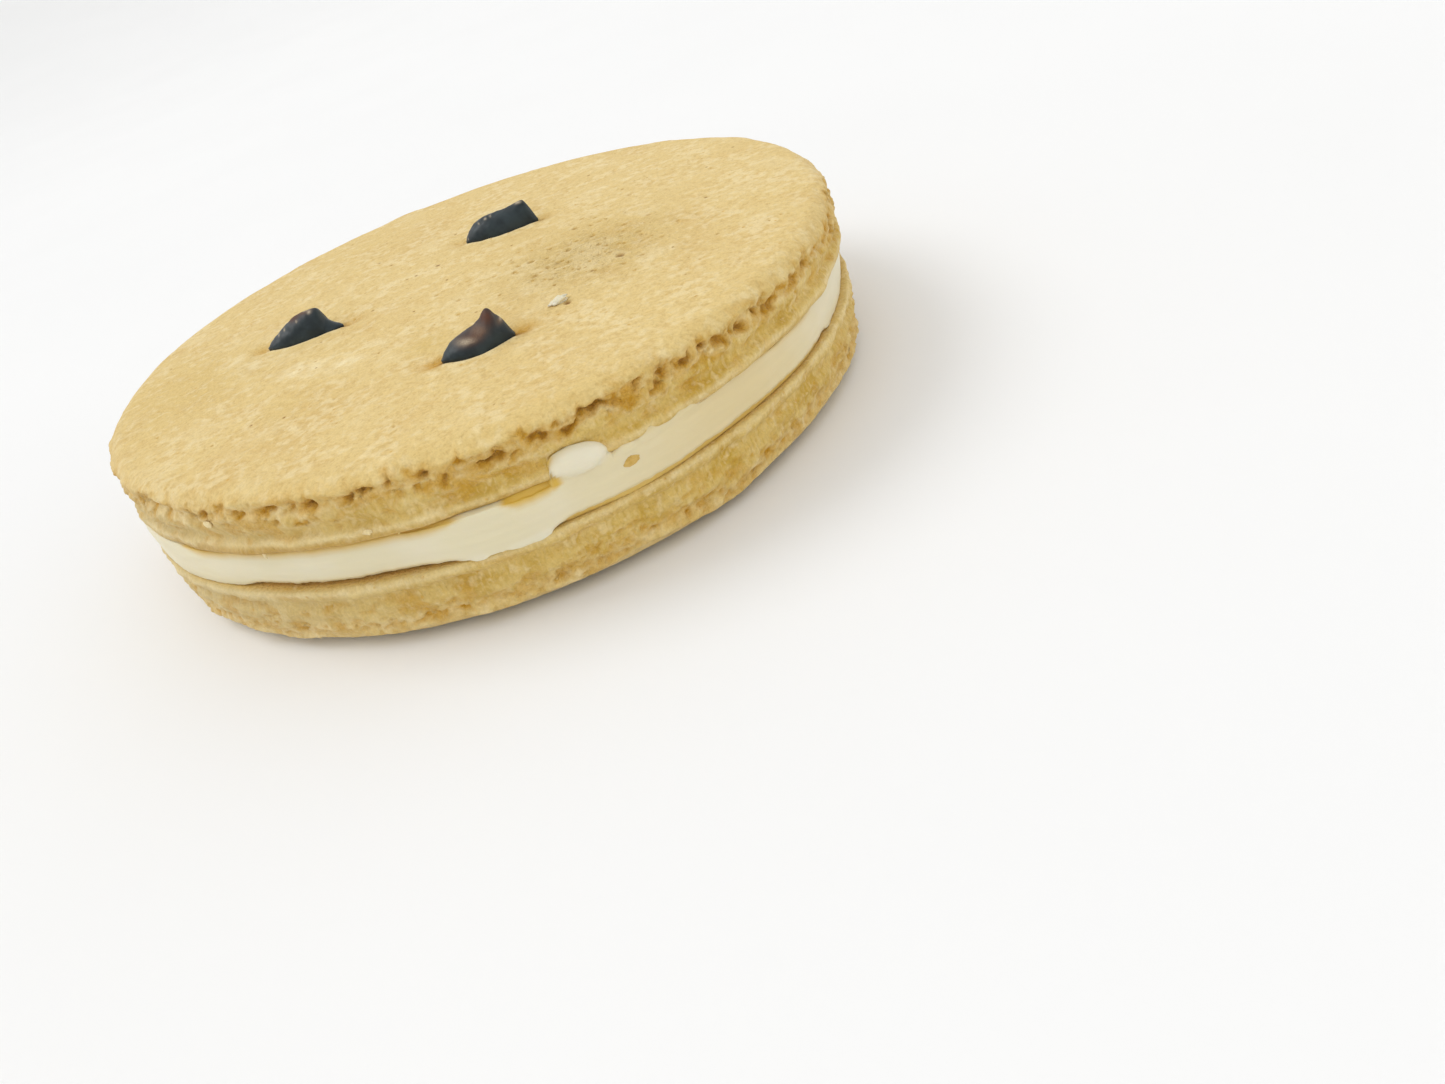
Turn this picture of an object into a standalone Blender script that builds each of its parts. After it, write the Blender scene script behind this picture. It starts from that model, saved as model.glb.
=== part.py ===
"""Cream sandwich cookie: two baked biscuits, a layer of cream between them and three chocolate chips.

Metres, +Z up. The origin is the middle of the flat spot on which the cookie rests.
Each biscuit is modelled outwards from its flat base, which faces the cream.
"""

import math
from dataclasses import dataclass

import bmesh
import bpy
from mathutils import Matrix, Vector, noise

MM = 0.001
NOISE_REACH = 0.62

# Heights of the sandwich.
LOWER_THICKNESS = 6.2 * MM
CREAM_SEAM = 3.8 * MM
UPPER_THICKNESS = 5.5 * MM
UPPER_BASE = LOWER_THICKNESS + CREAM_SEAM
TOUCH_GAP = 0.3 * MM

# Plan and rim of a biscuit.
BISCUIT_RADIUS = 35.0 * MM
REST_RADIUS = 21.0 * MM
RIM_FALL = 0.5 * MM
SHOULDER_RADIUS = 1.6 * MM
SHOULDER_INSET = 0.45 * MM
SHOULDER_STEPS = (0.0, 0.33, 0.67, 1.0)
CRUST_SWELL = 0.22 * MM
OUT_OF_ROUND = 0.35 * MM
ROUND_LUMPS = 1.5
FACE_RELIEF = 0.12 * MM
FACE_LUMP = 7.0 * MM

# Wall of a biscuit from its base up: inset from the lip, height above the base.
WALL_LINE = (
    (0.35 * MM, 0.0),
    (0.0, 0.30 * MM),
    (0.05 * MM, 0.85 * MM),
    (0.45 * MM, 1.35 * MM),
    (0.12 * MM, 2.20 * MM),
)
WALL_ROUGHNESS = 0.17 * MM
WALL_LUMP = 2.9 * MM

# The torn crust that runs round just under the rim.
CRAG_BELOW_RIM = 1.65 * MM
CRAG_HALF_HEIGHT = 0.50 * MM
CRAG_BRINK = 1.25
CRAG_INSETS = ((-CRAG_BRINK, 0.22 * MM), (0.0, 0.32 * MM))
CRAG_WANDER = 0.35 * MM
CRAG_WANDER_LUMPS = 6.0
CRAG_CELL = 2.4 * MM
CRAG_LEAST = 0.25
CRAG_TORN = (-0.25, 0.40)
UPPER_CRAG = 1.35 * MM
LOWER_CRAG = 0.50 * MM

# Points round the walls, and the rings of the base and the face: radius, share of those points.
UPPER_COUNT = 144
LOWER_COUNT = 120
BASE_RINGS = ((5.0 * MM, 0.08), (14.0 * MM, 0.20), (24.0 * MM, 0.35), (31.0 * MM, 0.50))
FACE_RINGS = (
    (31.4 * MM, 0.80),
    (28.6 * MM, 0.62),
    (24.6 * MM, 0.48),
    (19.8 * MM, 0.36),
    (14.2 * MM, 0.26),
    (8.6 * MM, 0.15),
    (3.6 * MM, 0.06),
)

# Cream: its edge from below up, as inset and share of the height.
CREAM_RADIUS = 34.35 * MM
CREAM_WAVER = 0.30 * MM
CREAM_LUMPS = 4.0
CREAM_COUNT = 96
CREAM_EDGE = (
    (0.90 * MM, 0.0),
    (0.22 * MM, 0.10),
    (0.0, 0.35),
    (0.05 * MM, 0.65),
    (0.30 * MM, 0.90),
    (1.00 * MM, 1.0),
)
CREAM_FACE_RINGS = ((8.0 * MM, 16), (22.0 * MM, 40))
# Where the cream squeezes out: angle and spread in degrees, how far.
SQUEEZES = (
    (-98.0, 9.0, 0.85 * MM),
    (-62.0, 26.0, 0.55 * MM),
    (20.0, 22.0, 0.60 * MM),
    (118.0, 15.0, 0.70 * MM),
)

# The smear of cream on the upper biscuit's wall, and the room that the wall needs inside it.
SMEAR_ANGLE = -87.2
SMEAR_HALF_SIZE = (1.15 * MM, 2.20 * MM, 1.35 * MM)
SMEAR_HEIGHT = 10.45 * MM
SMEAR_OUT = 0.15 * MM
SMEAR_SEGMENTS = 14
SMEAR_RINGS = 9
CLEARANCE_COUNT = 72
CLEARANCE_OFFSET = 0.02 * MM

# Chips: how deep they are sunk, how far the ridge leans back, and the pocket's outline.
CHIP_SUNK = 1.1 * MM
CHIP_LEAN = 0.25 * MM
CHIP_END_DEPTH = 0.1 * MM
CHIP_SIDES = 12
CHIP_FULLNESS = 0.6
CHIP_ROUNDING = 0.8
POCKET_COUNT = 24
POCKET_END_GAP = 0.5 * MM
POCKET_SIDE_GAP = 0.4 * MM
POCKET_BLUNTNESS = 5.0
POCKET_TOP = 3.0 * MM

# Ridge line of a chip: share of its length, share of its peak height. Each point is a cross-section.
HOOKED = (
    (0.06, 0.17),
    (0.14, 0.34),
    (0.27, 0.57),
    (0.45, 0.87),
    (0.62, 0.99),
    (0.72, 1.0),
    (0.78, 0.97),
    (0.82, 0.42),
    (0.88, 0.22),
    (0.95, 0.10),
)
PEAKED = (
    (0.07, 0.18),
    (0.20, 0.40),
    (0.38, 0.53),
    (0.56, 0.65),
    (0.66, 0.79),
    (0.72, 0.93),
    (0.78, 1.0),
    (0.82, 0.93),
    (0.88, 0.64),
    (0.94, 0.36),
    (0.97, 0.16),
)
BLUNT = (
    (0.03, 0.18),
    (0.08, 0.38),
    (0.18, 0.64),
    (0.32, 0.81),
    (0.49, 0.85),
    (0.65, 0.88),
    (0.79, 0.97),
    (0.88, 1.0),
    (0.92, 0.80),
    (0.97, 0.30),
)

# Where each unevenness is read.
UPPER_SEED = 11.3
LOWER_SEED = 27.9
CREAM_SEED = 41.7
CRAG_LINE_SEED = 2.3
CRAG_TEAR_SEED = 5.1

# Finishes: colour, roughness.
UPPER_CRUST = ((0.70, 0.52, 0.24), 0.75)
LOWER_CRUST = ((0.60, 0.42, 0.16), 0.78)
CREAM = ((0.78, 0.71, 0.52), 0.42)
CHOCOLATE = ((0.035, 0.028, 0.025), 0.32)


@dataclass(frozen=True)
class Chip:
    """A chocolate chip: middle of its footprint, turn in degrees, sizes, ridge line and widest place."""

    name: str
    x: float
    y: float
    turn: float
    length: float
    half_width: float
    peak: float
    ridge: tuple
    belly: float

    def body(self, along: float) -> float:
        """How full the chip is at a share of its length: 1 at its belly, 0 at its ends."""
        return math.sin(math.pi * along ** (math.log(0.5) / math.log(self.belly)))

    def foot(self, along: float) -> float:
        """Half the width of the chip at a share of its length."""
        return self.half_width * max(self.body(along), 0.0) ** CHIP_FULLNESS


CHIPS = (
    Chip("chip_left", -15.5 * MM, 0.8 * MM, -16.0, 7.6 * MM, 1.45 * MM, 2.2 * MM, HOOKED, 0.45),
    Chip("chip_front", -1.2 * MM, -19.4 * MM, -4.5, 6.2 * MM, 1.75 * MM, 2.55 * MM, PEAKED, 0.50),
    Chip("chip_back", 5.55 * MM, 9.2 * MM, -15.0, 7.8 * MM, 1.70 * MM, 2.15 * MM, BLUNT, 0.40),
)


def clear_scene() -> None:
    """Removes what the scene holds at the start."""
    for found in list(bpy.data.objects):
        bpy.data.objects.remove(found)


def make_finish(name: str, finish: tuple) -> bpy.types.Material:
    """Returns a Principled material of one colour and roughness."""
    colour, roughness = finish
    material = bpy.data.materials.new(name)
    material.use_nodes = True
    shader = material.node_tree.nodes["Principled BSDF"]
    shader.inputs["Base Color"].default_value = (*colour, 1.0)
    shader.inputs["Roughness"].default_value = roughness
    return material


def polar(radius: float, angle: float, height: float) -> Vector:
    """A point at a radius, an angle and a height."""
    return Vector((radius * math.cos(angle), radius * math.sin(angle), height))


def ring_angles(count: int) -> list:
    """Evenly spaced angles round a ring."""
    return [2.0 * math.pi * i / count for i in range(count)]


def waver(angle: float, seed: float, lumps: float, size: float) -> float:
    """Smooth unevenness round the cookie, between about -size and size."""
    return size / NOISE_REACH * noise.noise(polar(lumps, angle, seed))


def smooth_share(value: float, low: float, high: float) -> float:
    """0 up to low, 1 from high on, smooth between them."""
    share = min(max((value - low) / (high - low), 0.0), 1.0)
    return share * share * (3.0 - 2.0 * share)


class Biscuit:
    """A round biscuit: a flat base, a wall with a lip, torn crust under the rim and a baked face."""

    def __init__(self, thickness: float, flat_radius: float, crag: float, count: int, seed: float):
        self.thickness = thickness
        self.flat_radius = flat_radius
        self.crag = crag
        self.count = count
        self.seed = seed
        self.rim_height = thickness - RIM_FALL
        self.face_radius = BISCUIT_RADIUS - SHOULDER_INSET - SHOULDER_RADIUS

    def lip_radius(self, angle: float) -> float:
        """Radius of the lip, which isn't quite round."""
        return BISCUIT_RADIUS + waver(angle, self.seed, ROUND_LUMPS, OUT_OF_ROUND)

    def crag_middle(self, angle: float) -> float:
        """Height of the torn crust's middle at an angle."""
        wander = waver(angle, self.seed + CRAG_LINE_SEED, CRAG_WANDER_LUMPS, CRAG_WANDER)
        return self.rim_height - CRAG_BELOW_RIM + wander

    def crag_depth(self, angle: float, height: float) -> float:
        """How far the crust is torn in, which comes and goes round the wall."""
        away = (height - self.crag_middle(angle)) / CRAG_HALF_HEIGHT
        tear = waver(angle, self.seed + CRAG_TEAR_SEED, BISCUIT_RADIUS / CRAG_CELL, 1.0)
        torn = CRAG_LEAST + (1.0 - CRAG_LEAST) * smooth_share(tear, *CRAG_TORN)
        return self.crag * torn * math.exp(-away * away)

    def wall_point(self, angle: float, inset: float, height: float) -> Vector:
        """A point of the wall, with its roughness and the torn crust."""
        lump = waver(angle, self.seed + height / MM, BISCUIT_RADIUS / WALL_LUMP, WALL_ROUGHNESS)
        radius = self.lip_radius(angle) - inset + lump - self.crag_depth(angle, height)
        return polar(radius, angle, height)

    def crag_point(self, angle: float, offset: float, inset: float) -> Vector:
        """A point of the torn crust, a share of its half-height off its middle."""
        return self.wall_point(angle, inset, self.crag_middle(angle) + offset * CRAG_HALF_HEIGHT)

    def shoulder_point(self, angle: float, step: float) -> Vector:
        """A point of the rounded rim, step 0 just above the torn crust and 1 on the face."""
        turn = step * math.pi / 2.0
        inset = SHOULDER_INSET + SHOULDER_RADIUS * (1.0 - math.cos(turn)) - CRUST_SWELL * (1.0 - step)
        point = self.wall_point(angle, inset, self.rim_height - SHOULDER_RADIUS * (1.0 - math.sin(turn)))
        brink = self.crag_middle(angle) + CRAG_BRINK * CRAG_HALF_HEIGHT + step * MM
        face = self.face_height(point.x, point.y)
        point.z = face if step == 1.0 else min(max(point.z, brink), face)
        return point

    def face_height(self, x: float, y: float) -> float:
        """Height of the baked face: highest in the middle, lower at the rim, gently uneven."""
        reach = math.hypot(x, y) - self.flat_radius
        share = min(max(reach / (self.face_radius - self.flat_radius), 0.0), 1.0)
        relief = FACE_RELIEF * noise.noise(Vector((x / FACE_LUMP, y / FACE_LUMP, self.seed)))
        return self.thickness + (relief - RIM_FALL) * share * share

    def rings(self) -> list:
        """Rings of points from the middle of the base, over the wall, to the middle of the face."""
        around = ring_angles(self.count)
        rings = [[Vector((0.0, 0.0, 0.0))]]
        for radius, share in BASE_RINGS:
            rings.append([polar(radius, a, 0.0) for a in ring_angles(round(self.count * share))])
        for inset, height in WALL_LINE:
            rings.append([self.wall_point(a, inset, height) for a in around])
        for offset, inset in CRAG_INSETS:
            rings.append([self.crag_point(a, offset, inset) for a in around])
        for step in SHOULDER_STEPS:
            rings.append([self.shoulder_point(a, step) for a in around])
        for radius, share in FACE_RINGS:
            flat = [polar(radius, a, 0.0) for a in ring_angles(round(self.count * share))]
            rings.append([Vector((p.x, p.y, self.face_height(p.x, p.y))) for p in flat])
        rings.append([Vector((0.0, 0.0, self.thickness))])
        return rings


def zip_rings(first: list, second: list) -> list:
    """Triangles between two rings of vertices, which may have different counts."""
    if len(second) == 1:
        first, second = second, first
    if len(first) == 1:
        return [(first[0], second[j], second[(j + 1) % len(second)]) for j in range(len(second))]
    faces = []
    i = 0
    j = 0
    while i < len(first) or j < len(second):
        if j < len(second) and (j + 1) * len(first) <= (i + 1) * len(second):
            faces.append((first[i % len(first)], second[j], second[(j + 1) % len(second)]))
            j += 1
        else:
            faces.append((first[i], second[j % len(second)], first[(i + 1) % len(first)]))
            i += 1
    return faces


def solid_from_rings(name: str, rings: list, finish: bpy.types.Material) -> bpy.types.Object:
    """A closed solid skinned over rings of points, from one closing point to the other."""
    shape = bmesh.new()
    skins = [[shape.verts.new(point) for point in ring] for ring in rings]
    for first, second in zip(skins, skins[1:]):
        for corners in zip_rings(first, second):
            shape.faces.new(corners)
    bmesh.ops.recalc_face_normals(shape, faces=shape.faces)
    return add_piece(name, shape, finish)


def add_piece(name: str, shape: bmesh.types.BMesh, finish: bpy.types.Material) -> bpy.types.Object:
    """Turns a shape into an object of the scene, shaded smooth."""
    mesh = bpy.data.meshes.new(name)
    shape.to_mesh(mesh)
    shape.free()
    mesh.shade_smooth()
    mesh.materials.append(finish)
    made = bpy.data.objects.new(name, mesh)
    bpy.context.scene.collection.objects.link(made)
    return made


def combine(target: bpy.types.Object, tool: bpy.types.Object, operation: str) -> None:
    """Adds a Boolean with a tool body, which isn't a piece itself."""
    modifier = target.modifiers.new(tool.name, "BOOLEAN")
    modifier.operation = operation
    modifier.object = tool
    modifier.solver = "EXACT"
    tool.hide_render = True
    tool.display_type = "WIRE"


def make_lower_biscuit(lower: Biscuit, finish: bpy.types.Material) -> None:
    """The lower biscuit, which lies base up, so that its baked face is underneath."""
    made = solid_from_rings("lower_biscuit", lower.rings(), finish)
    made.data.transform(Matrix.Rotation(math.pi, 4, "X"))
    made.location.z = LOWER_THICKNESS


def make_upper_biscuit(upper: Biscuit, finish: bpy.types.Material) -> None:
    """The upper biscuit, base down, with a pocket for each chip."""
    made = solid_from_rings("upper_biscuit", upper.rings(), finish)
    made.location.z = UPPER_BASE
    for chip in CHIPS:
        pocket = solid_from_rings(chip.name + "_pocket", pocket_rings(chip), finish)
        set_on_face(pocket, upper, chip)
        combine(made, pocket, "DIFFERENCE")


def cream_reach(angle: float) -> float:
    """Radius of the cream's edge at an angle."""
    reach = CREAM_RADIUS + waver(angle, CREAM_SEED, CREAM_LUMPS, CREAM_WAVER)
    for middle, spread, size in SQUEEZES:
        away = math.remainder(angle - math.radians(middle), 2.0 * math.pi) / math.radians(spread)
        reach += size * math.exp(-away * away)
    return reach


def cream_rings() -> list:
    """The rings of the cream layer: flat faces, and an edge that bulges where the cream squeezes out."""
    low = LOWER_THICKNESS + TOUCH_GAP
    high = UPPER_BASE - TOUCH_GAP
    rings = [[Vector((0.0, 0.0, low))]]
    for radius, count in CREAM_FACE_RINGS:
        rings.append([polar(radius, a, low) for a in ring_angles(count)])
    for inset, share in CREAM_EDGE:
        height = low + share * (high - low)
        rings.append([polar(cream_reach(a) - inset, a, height) for a in ring_angles(CREAM_COUNT)])
    for radius, count in reversed(CREAM_FACE_RINGS):
        rings.append([polar(radius, a, high) for a in ring_angles(count)])
    rings.append([Vector((0.0, 0.0, high))])
    return rings


def make_smear(finish: bpy.types.Material) -> bpy.types.Object:
    """The rounded lump of cream that was squeezed up over the upper biscuit's lip."""
    angle = math.radians(SMEAR_ANGLE)
    shape = bmesh.new()
    bmesh.ops.create_uvsphere(shape, u_segments=SMEAR_SEGMENTS, v_segments=SMEAR_RINGS, radius=1.0)
    bmesh.ops.scale(shape, verts=shape.verts, vec=SMEAR_HALF_SIZE)
    bmesh.ops.rotate(shape, verts=shape.verts, matrix=Matrix.Rotation(angle, 3, "Z"))
    middle = polar(BISCUIT_RADIUS + SMEAR_OUT, angle, SMEAR_HEIGHT)
    bmesh.ops.translate(shape, verts=shape.verts, vec=middle)
    return add_piece("smear_form", shape, finish)


def clearance_rings(upper: Biscuit) -> list:
    """The room that the upper biscuit takes, with the gap that touching pieces keep."""
    low = UPPER_BASE - TOUCH_GAP + CLEARANCE_OFFSET
    high = low + 2.0 * UPPER_THICKNESS
    margin = TOUCH_GAP + WALL_ROUGHNESS
    rings = [[Vector((0.0, 0.0, low))]]
    for height in (low, high):
        rings.append([polar(upper.lip_radius(a) + margin, a, height) for a in ring_angles(CLEARANCE_COUNT)])
    rings.append([Vector((0.0, 0.0, high))])
    return rings


def make_cream(upper: Biscuit, finish: bpy.types.Material) -> None:
    """The cream layer, with the smear of it that lies on the upper biscuit's wall."""
    cream = solid_from_rings("cream", cream_rings(), finish)
    combine(cream, make_smear(finish), "UNION")
    clearance = solid_from_rings("wall_clearance", clearance_rings(upper), finish)
    combine(cream, clearance, "DIFFERENCE")


def chip_rings(chip: Chip) -> list:
    """Cross-sections of a chip along its length: a leaning ridge above, a shallow keel sunk in the crust."""
    rings = [[Vector((-chip.length / 2.0, 0.0, -CHIP_END_DEPTH))]]
    for along, share in chip.ridge:
        width = chip.foot(along)
        top = chip.peak * share
        keel = CHIP_SUNK * math.sqrt(chip.body(along))
        ring = []
        for turn in ring_angles(CHIP_SIDES):
            lift = math.sin(turn)
            height = top * lift**CHIP_ROUNDING if lift > 0.0 else keel * lift
            side = width * math.cos(turn) + CHIP_LEAN * max(lift, 0.0)
            ring.append(Vector((chip.length * (along - 0.5), side, height)))
        rings.append(ring)
    rings.append([Vector((chip.length / 2.0, 0.0, -CHIP_END_DEPTH))])
    return rings


def pocket_rings(chip: Chip) -> list:
    """The hollow that a chip sits in: its footprint with a gap round it, open at the top."""
    outline = []
    for turn in ring_angles(POCKET_COUNT):
        open_share = min(abs(math.sin(turn)) * POCKET_BLUNTNESS, 1.0)
        side = (chip.foot(0.5 + 0.5 * math.cos(turn)) + POCKET_SIDE_GAP) * open_share
        reach = (chip.length / 2.0 + POCKET_END_GAP) * math.cos(turn)
        outline.append((reach, math.copysign(side, math.sin(turn))))
    floor = -CHIP_SUNK - TOUCH_GAP
    rings = [[Vector((0.0, 0.0, floor))]]
    for height in (floor, POCKET_TOP):
        rings.append([Vector((x, y, height)) for x, y in outline])
    rings.append([Vector((0.0, 0.0, POCKET_TOP))])
    return rings


def set_on_face(piece: bpy.types.Object, upper: Biscuit, chip: Chip) -> None:
    """Puts a chip, or its pocket, where it lies on the upper biscuit's face."""
    piece.location = (chip.x, chip.y, UPPER_BASE + upper.face_height(chip.x, chip.y))
    piece.rotation_euler.z = math.radians(chip.turn)


def make_chips(upper: Biscuit, finish: bpy.types.Material) -> None:
    """The chocolate chips, each in its pocket."""
    for chip in CHIPS:
        set_on_face(solid_from_rings(chip.name, chip_rings(chip), finish), upper, chip)


def main() -> None:
    """Builds the whole cookie."""
    clear_scene()
    upper = Biscuit(UPPER_THICKNESS, 0.0, UPPER_CRAG, UPPER_COUNT, UPPER_SEED)
    lower = Biscuit(LOWER_THICKNESS, REST_RADIUS, LOWER_CRAG, LOWER_COUNT, LOWER_SEED)
    make_lower_biscuit(lower, make_finish("lower_crust", LOWER_CRUST))
    make_cream(upper, make_finish("cream_filling", CREAM))
    make_upper_biscuit(upper, make_finish("upper_crust", UPPER_CRUST))
    make_chips(upper, make_finish("chocolate", CHOCOLATE))


main()
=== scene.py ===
"""Looks of a cream sandwich cookie: two baked biscuits, the cream between them and three chocolate chips.

Metres, +Z up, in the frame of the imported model. Each biscuit is worked out from its flat base, which faces
the cream, outwards to its baked face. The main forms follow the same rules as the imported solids, and the
torn crust, wrinkles, pits, spills and crumbs are added to them.
"""

import logging
import math
import random
from dataclasses import dataclass, field, replace
from enum import Enum
from typing import Callable, NamedTuple, Sequence

import bmesh
import bpy
from mathutils import Matrix, Vector, noise
from mathutils.geometry import delaunay_2d_cdt


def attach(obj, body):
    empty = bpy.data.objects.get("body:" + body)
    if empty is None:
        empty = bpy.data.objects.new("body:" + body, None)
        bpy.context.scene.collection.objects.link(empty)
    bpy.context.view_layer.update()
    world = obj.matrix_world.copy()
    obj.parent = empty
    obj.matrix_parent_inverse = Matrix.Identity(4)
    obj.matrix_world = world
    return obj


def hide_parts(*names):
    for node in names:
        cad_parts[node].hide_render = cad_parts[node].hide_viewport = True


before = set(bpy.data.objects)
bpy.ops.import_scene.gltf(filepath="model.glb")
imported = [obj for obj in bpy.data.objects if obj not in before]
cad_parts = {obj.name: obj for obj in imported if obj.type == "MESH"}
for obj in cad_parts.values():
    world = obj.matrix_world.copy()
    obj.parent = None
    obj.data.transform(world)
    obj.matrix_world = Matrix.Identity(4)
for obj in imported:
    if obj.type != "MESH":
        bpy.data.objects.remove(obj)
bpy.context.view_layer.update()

log = logging.getLogger("cookie")

MM = 0.001
NOISE_REACH = 0.62
FULL_TURN = 2.0 * math.pi
FULL_CIRCLE = 360.0
BODY = "root"

# Heights of the sandwich and the plan of a biscuit.
LOWER_THICKNESS = 6.2 * MM
CREAM_SEAM = 3.8 * MM
UPPER_THICKNESS = 5.5 * MM
UPPER_BASE = LOWER_THICKNESS + CREAM_SEAM
BISCUIT_RADIUS = 35.0 * MM
REST_RADIUS = 21.0 * MM
OUT_OF_ROUND = 0.35 * MM
ROUND_LUMPS = 1.5

# Where each unevenness is read.
UPPER_SEED = 11.3
LOWER_SEED = 27.9
CREAM_SEED = 41.7
CRAG_LINE_SEED = 2.3
CRAG_TEAR_SEED = 5.1

# An even net of triangles: the distance of its rows, and how it is cut out inside the rim.
NET_ROW = math.sqrt(0.75)
NET_INSIDE_ONLY = 1
NET_TOLERANCE = 1e-5

# The inputs and the output of a Mix node that mixes colours, and a texture that isn't drawn out.
MIX_SHARE = "Factor_Float"
MIX_FIRST = "A_Color"
MIX_SECOND = "B_Color"
MIX_RESULT = "Result_Color"
EVEN = (1.0, 1.0, 1.0)

Pair = tuple[float, float]
Triple = tuple[float, float, float]
Colour = tuple[float, float, float]


class Slot(Enum):
    """The record's material slots."""

    UPPER_CRUST = "upper_crust"
    LOWER_CRUST = "lower_crust"
    CREAM = "cream"
    CHOCOLATE = "chocolate"


class Mark(Enum):
    """What is written on the points of a skin for its finish to read."""

    SIDE = "side"
    TORN = "torn"
    PALE = "pale"
    BROWN = "brown"
    # Painted shade: the wall greyer and duller in places and under the lip.
    GREY_SHADE = "grey_shade"
    CRINKLED = "crinkled"


class Ridge(Enum):
    """Ridge lines of the chips: share of the length, share of the peak height."""

    HOOKED = (
        (0.0, 0.0), (0.06, 0.17), (0.14, 0.34), (0.27, 0.57), (0.45, 0.87), (0.62, 0.985), (0.72, 1.0),
        (0.775, 0.97), (0.795, 0.75), (0.82, 0.42), (0.88, 0.22), (0.95, 0.10), (1.0, 0.0),
    )
    PEAKED = (
        (0.0, 0.0), (0.07, 0.18), (0.20, 0.40), (0.38, 0.53), (0.56, 0.65), (0.66, 0.79), (0.72, 0.93),
        (0.78, 1.0), (0.82, 0.93), (0.85, 0.76), (0.88, 0.66), (0.92, 0.50), (0.96, 0.22), (1.0, 0.0),
    )
    BLUNT = (
        (0.0, 0.0), (0.03, 0.18), (0.08, 0.38), (0.18, 0.64), (0.32, 0.81), (0.49, 0.85), (0.65, 0.88),
        (0.79, 0.97), (0.885, 1.0), (0.91, 0.86), (0.95, 0.48), (1.0, 0.0),
    )


class Spot(NamedTuple):
    """A point of a skin with what is written on it."""

    place: Vector
    side: float = 0.0
    torn: float = 0.0
    pale: float = 0.0
    brown: float = 0.0
    grey_shade: float = 0.0
    crinkled: float = 0.0


def polar(radius: float, angle: float, height: float) -> Vector:
    """A point at a radius, an angle and a height."""
    return Vector((radius * math.cos(angle), radius * math.sin(angle), height))


def ring_angles(count: int) -> list[float]:
    """Evenly spaced angles round a ring."""
    return [FULL_TURN * i / count for i in range(count)]


def rough(x: float, y: float, z: float) -> float:
    """Smooth unevenness at a place, between about -1 and 1, with lumps about one unit across."""
    return noise.noise((x, y, z)) / NOISE_REACH


def lumps(place: Vector, size: float, seed: float) -> float:
    """Smooth unevenness at a place, between about -1 and 1, with lumps of a size in metres."""
    return rough(place.x / size, place.y / size, place.z / size + seed)


def waver(angle: float, seed: float, count: float, size: float) -> float:
    """Smooth unevenness round the cookie, between about -size and size."""
    return size * rough(count * math.cos(angle), count * math.sin(angle), seed)


def between(first: float, second: float, share: float) -> float:
    """The value at a share of the way from one to another."""
    return first + (second - first) * share


def hill(away: float) -> float:
    """A soft hill, 1 in its middle and nearly 0 from two units away."""
    return math.exp(-away * away)


class Rise(NamedTuple):
    """A smooth rise: where it starts from 0, where it is complete, and how much it counts there."""

    low: float
    high: float
    most: float = 1.0

    def at(self, value: float) -> float:
        """How far it has risen at a value."""
        share = min(max((value - self.low) / (self.high - self.low), 0.0), 1.0)
        return self.most * (share * share * (3.0 - 2.0 * share))

    def left(self, value: float) -> float:
        """How much of it is still to come at a value."""
        return self.most - self.at(value)


class Swell(NamedTuple):
    """Something that is strongest at an angle and fades to either side, in degrees."""

    middle: float
    spread: float
    size: float = 1.0
    sharpness: float = 1.0

    def at(self, degrees: float) -> float:
        """How strong it is at an angle."""
        away = math.remainder(degrees - self.middle, FULL_CIRCLE) / self.spread
        return self.size * hill(away) ** self.sharpness


def strongest(swells: Sequence[Swell], degrees: float) -> float:
    """How strong the strongest of several swells is at an angle, 0 where there are none."""
    return max((swell.at(degrees) for swell in swells), default=0.0)


class Patch(NamedTuple):
    """A round place of a baked face that fades outwards."""

    x: float
    y: float
    spread: float
    strength: float = 1.0

    def at(self, x: float, y: float) -> float:
        """How strong it is at a place."""
        return self.strength * hill(math.hypot(x - self.x, y - self.y) / self.spread)


class Layer(NamedTuple):
    """A layer of unevenness: how strong, its lumps' size, and a shift that keeps it apart from others."""

    strength: float
    size: float
    shift: float = 0.0
    deep: float = 0.0

    def flat(self, x: float, y: float, seed: float) -> float:
        """The layer at a place of a face, where its lumps may be longer one way than the other."""
        return self.strength * rough(x / self.size, y / (self.deep or self.size), seed + self.shift)


Layers = tuple[Layer, ...]


def layered(place: Vector, layers: Sequence[Layer], seed: float) -> float:
    """The sum of several layers of unevenness at a place."""
    return sum(layer.strength * lumps(place, layer.size, seed + layer.shift) for layer in layers)


def through(keys: Sequence[tuple[float, ...]], step: float) -> tuple[float, ...]:
    """Reads a smooth line that runs through its key points.

    Args:
        keys: the key points, in order.
        step: where to read, 0 at the first key, 1 at the second and so on.

    Returns:
        The point of the line.
    """
    start = min(int(step), len(keys) - 2)
    t = step - start
    before = keys[max(start - 1, 0)]
    after = keys[min(start + 2, len(keys) - 1)]
    read = []
    for a, b, c, d in zip(before, keys[start], keys[start + 1], after):
        bend = 2.0 * a - 5.0 * b + 4.0 * c - d + t * (3.0 * (b - c) + d - a)
        read.append(b + 0.5 * t * (c - a + t * bend))
    return tuple(read)


def height_on(line: Sequence[Pair], share: float) -> float:
    """Reads a smooth line of (share, height) points.

    Args:
        line: the points, with rising shares.
        share: where to read.

    Returns:
        The height there, at least 0.
    """
    for index, (start, end) in enumerate(zip(line, line[1:])):
        if share <= end[0]:
            step = index + (share - start[0]) / (end[0] - start[0])
            return max(through(line, step)[1], 0.0)
    return 0.0


def steps_along(counts: Sequence[int]) -> list[float]:
    """Steps along a line of keys, with a count of rows from each key to the next."""
    return [key + row / count for key, count in enumerate(counts) for row in range(count)]


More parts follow.
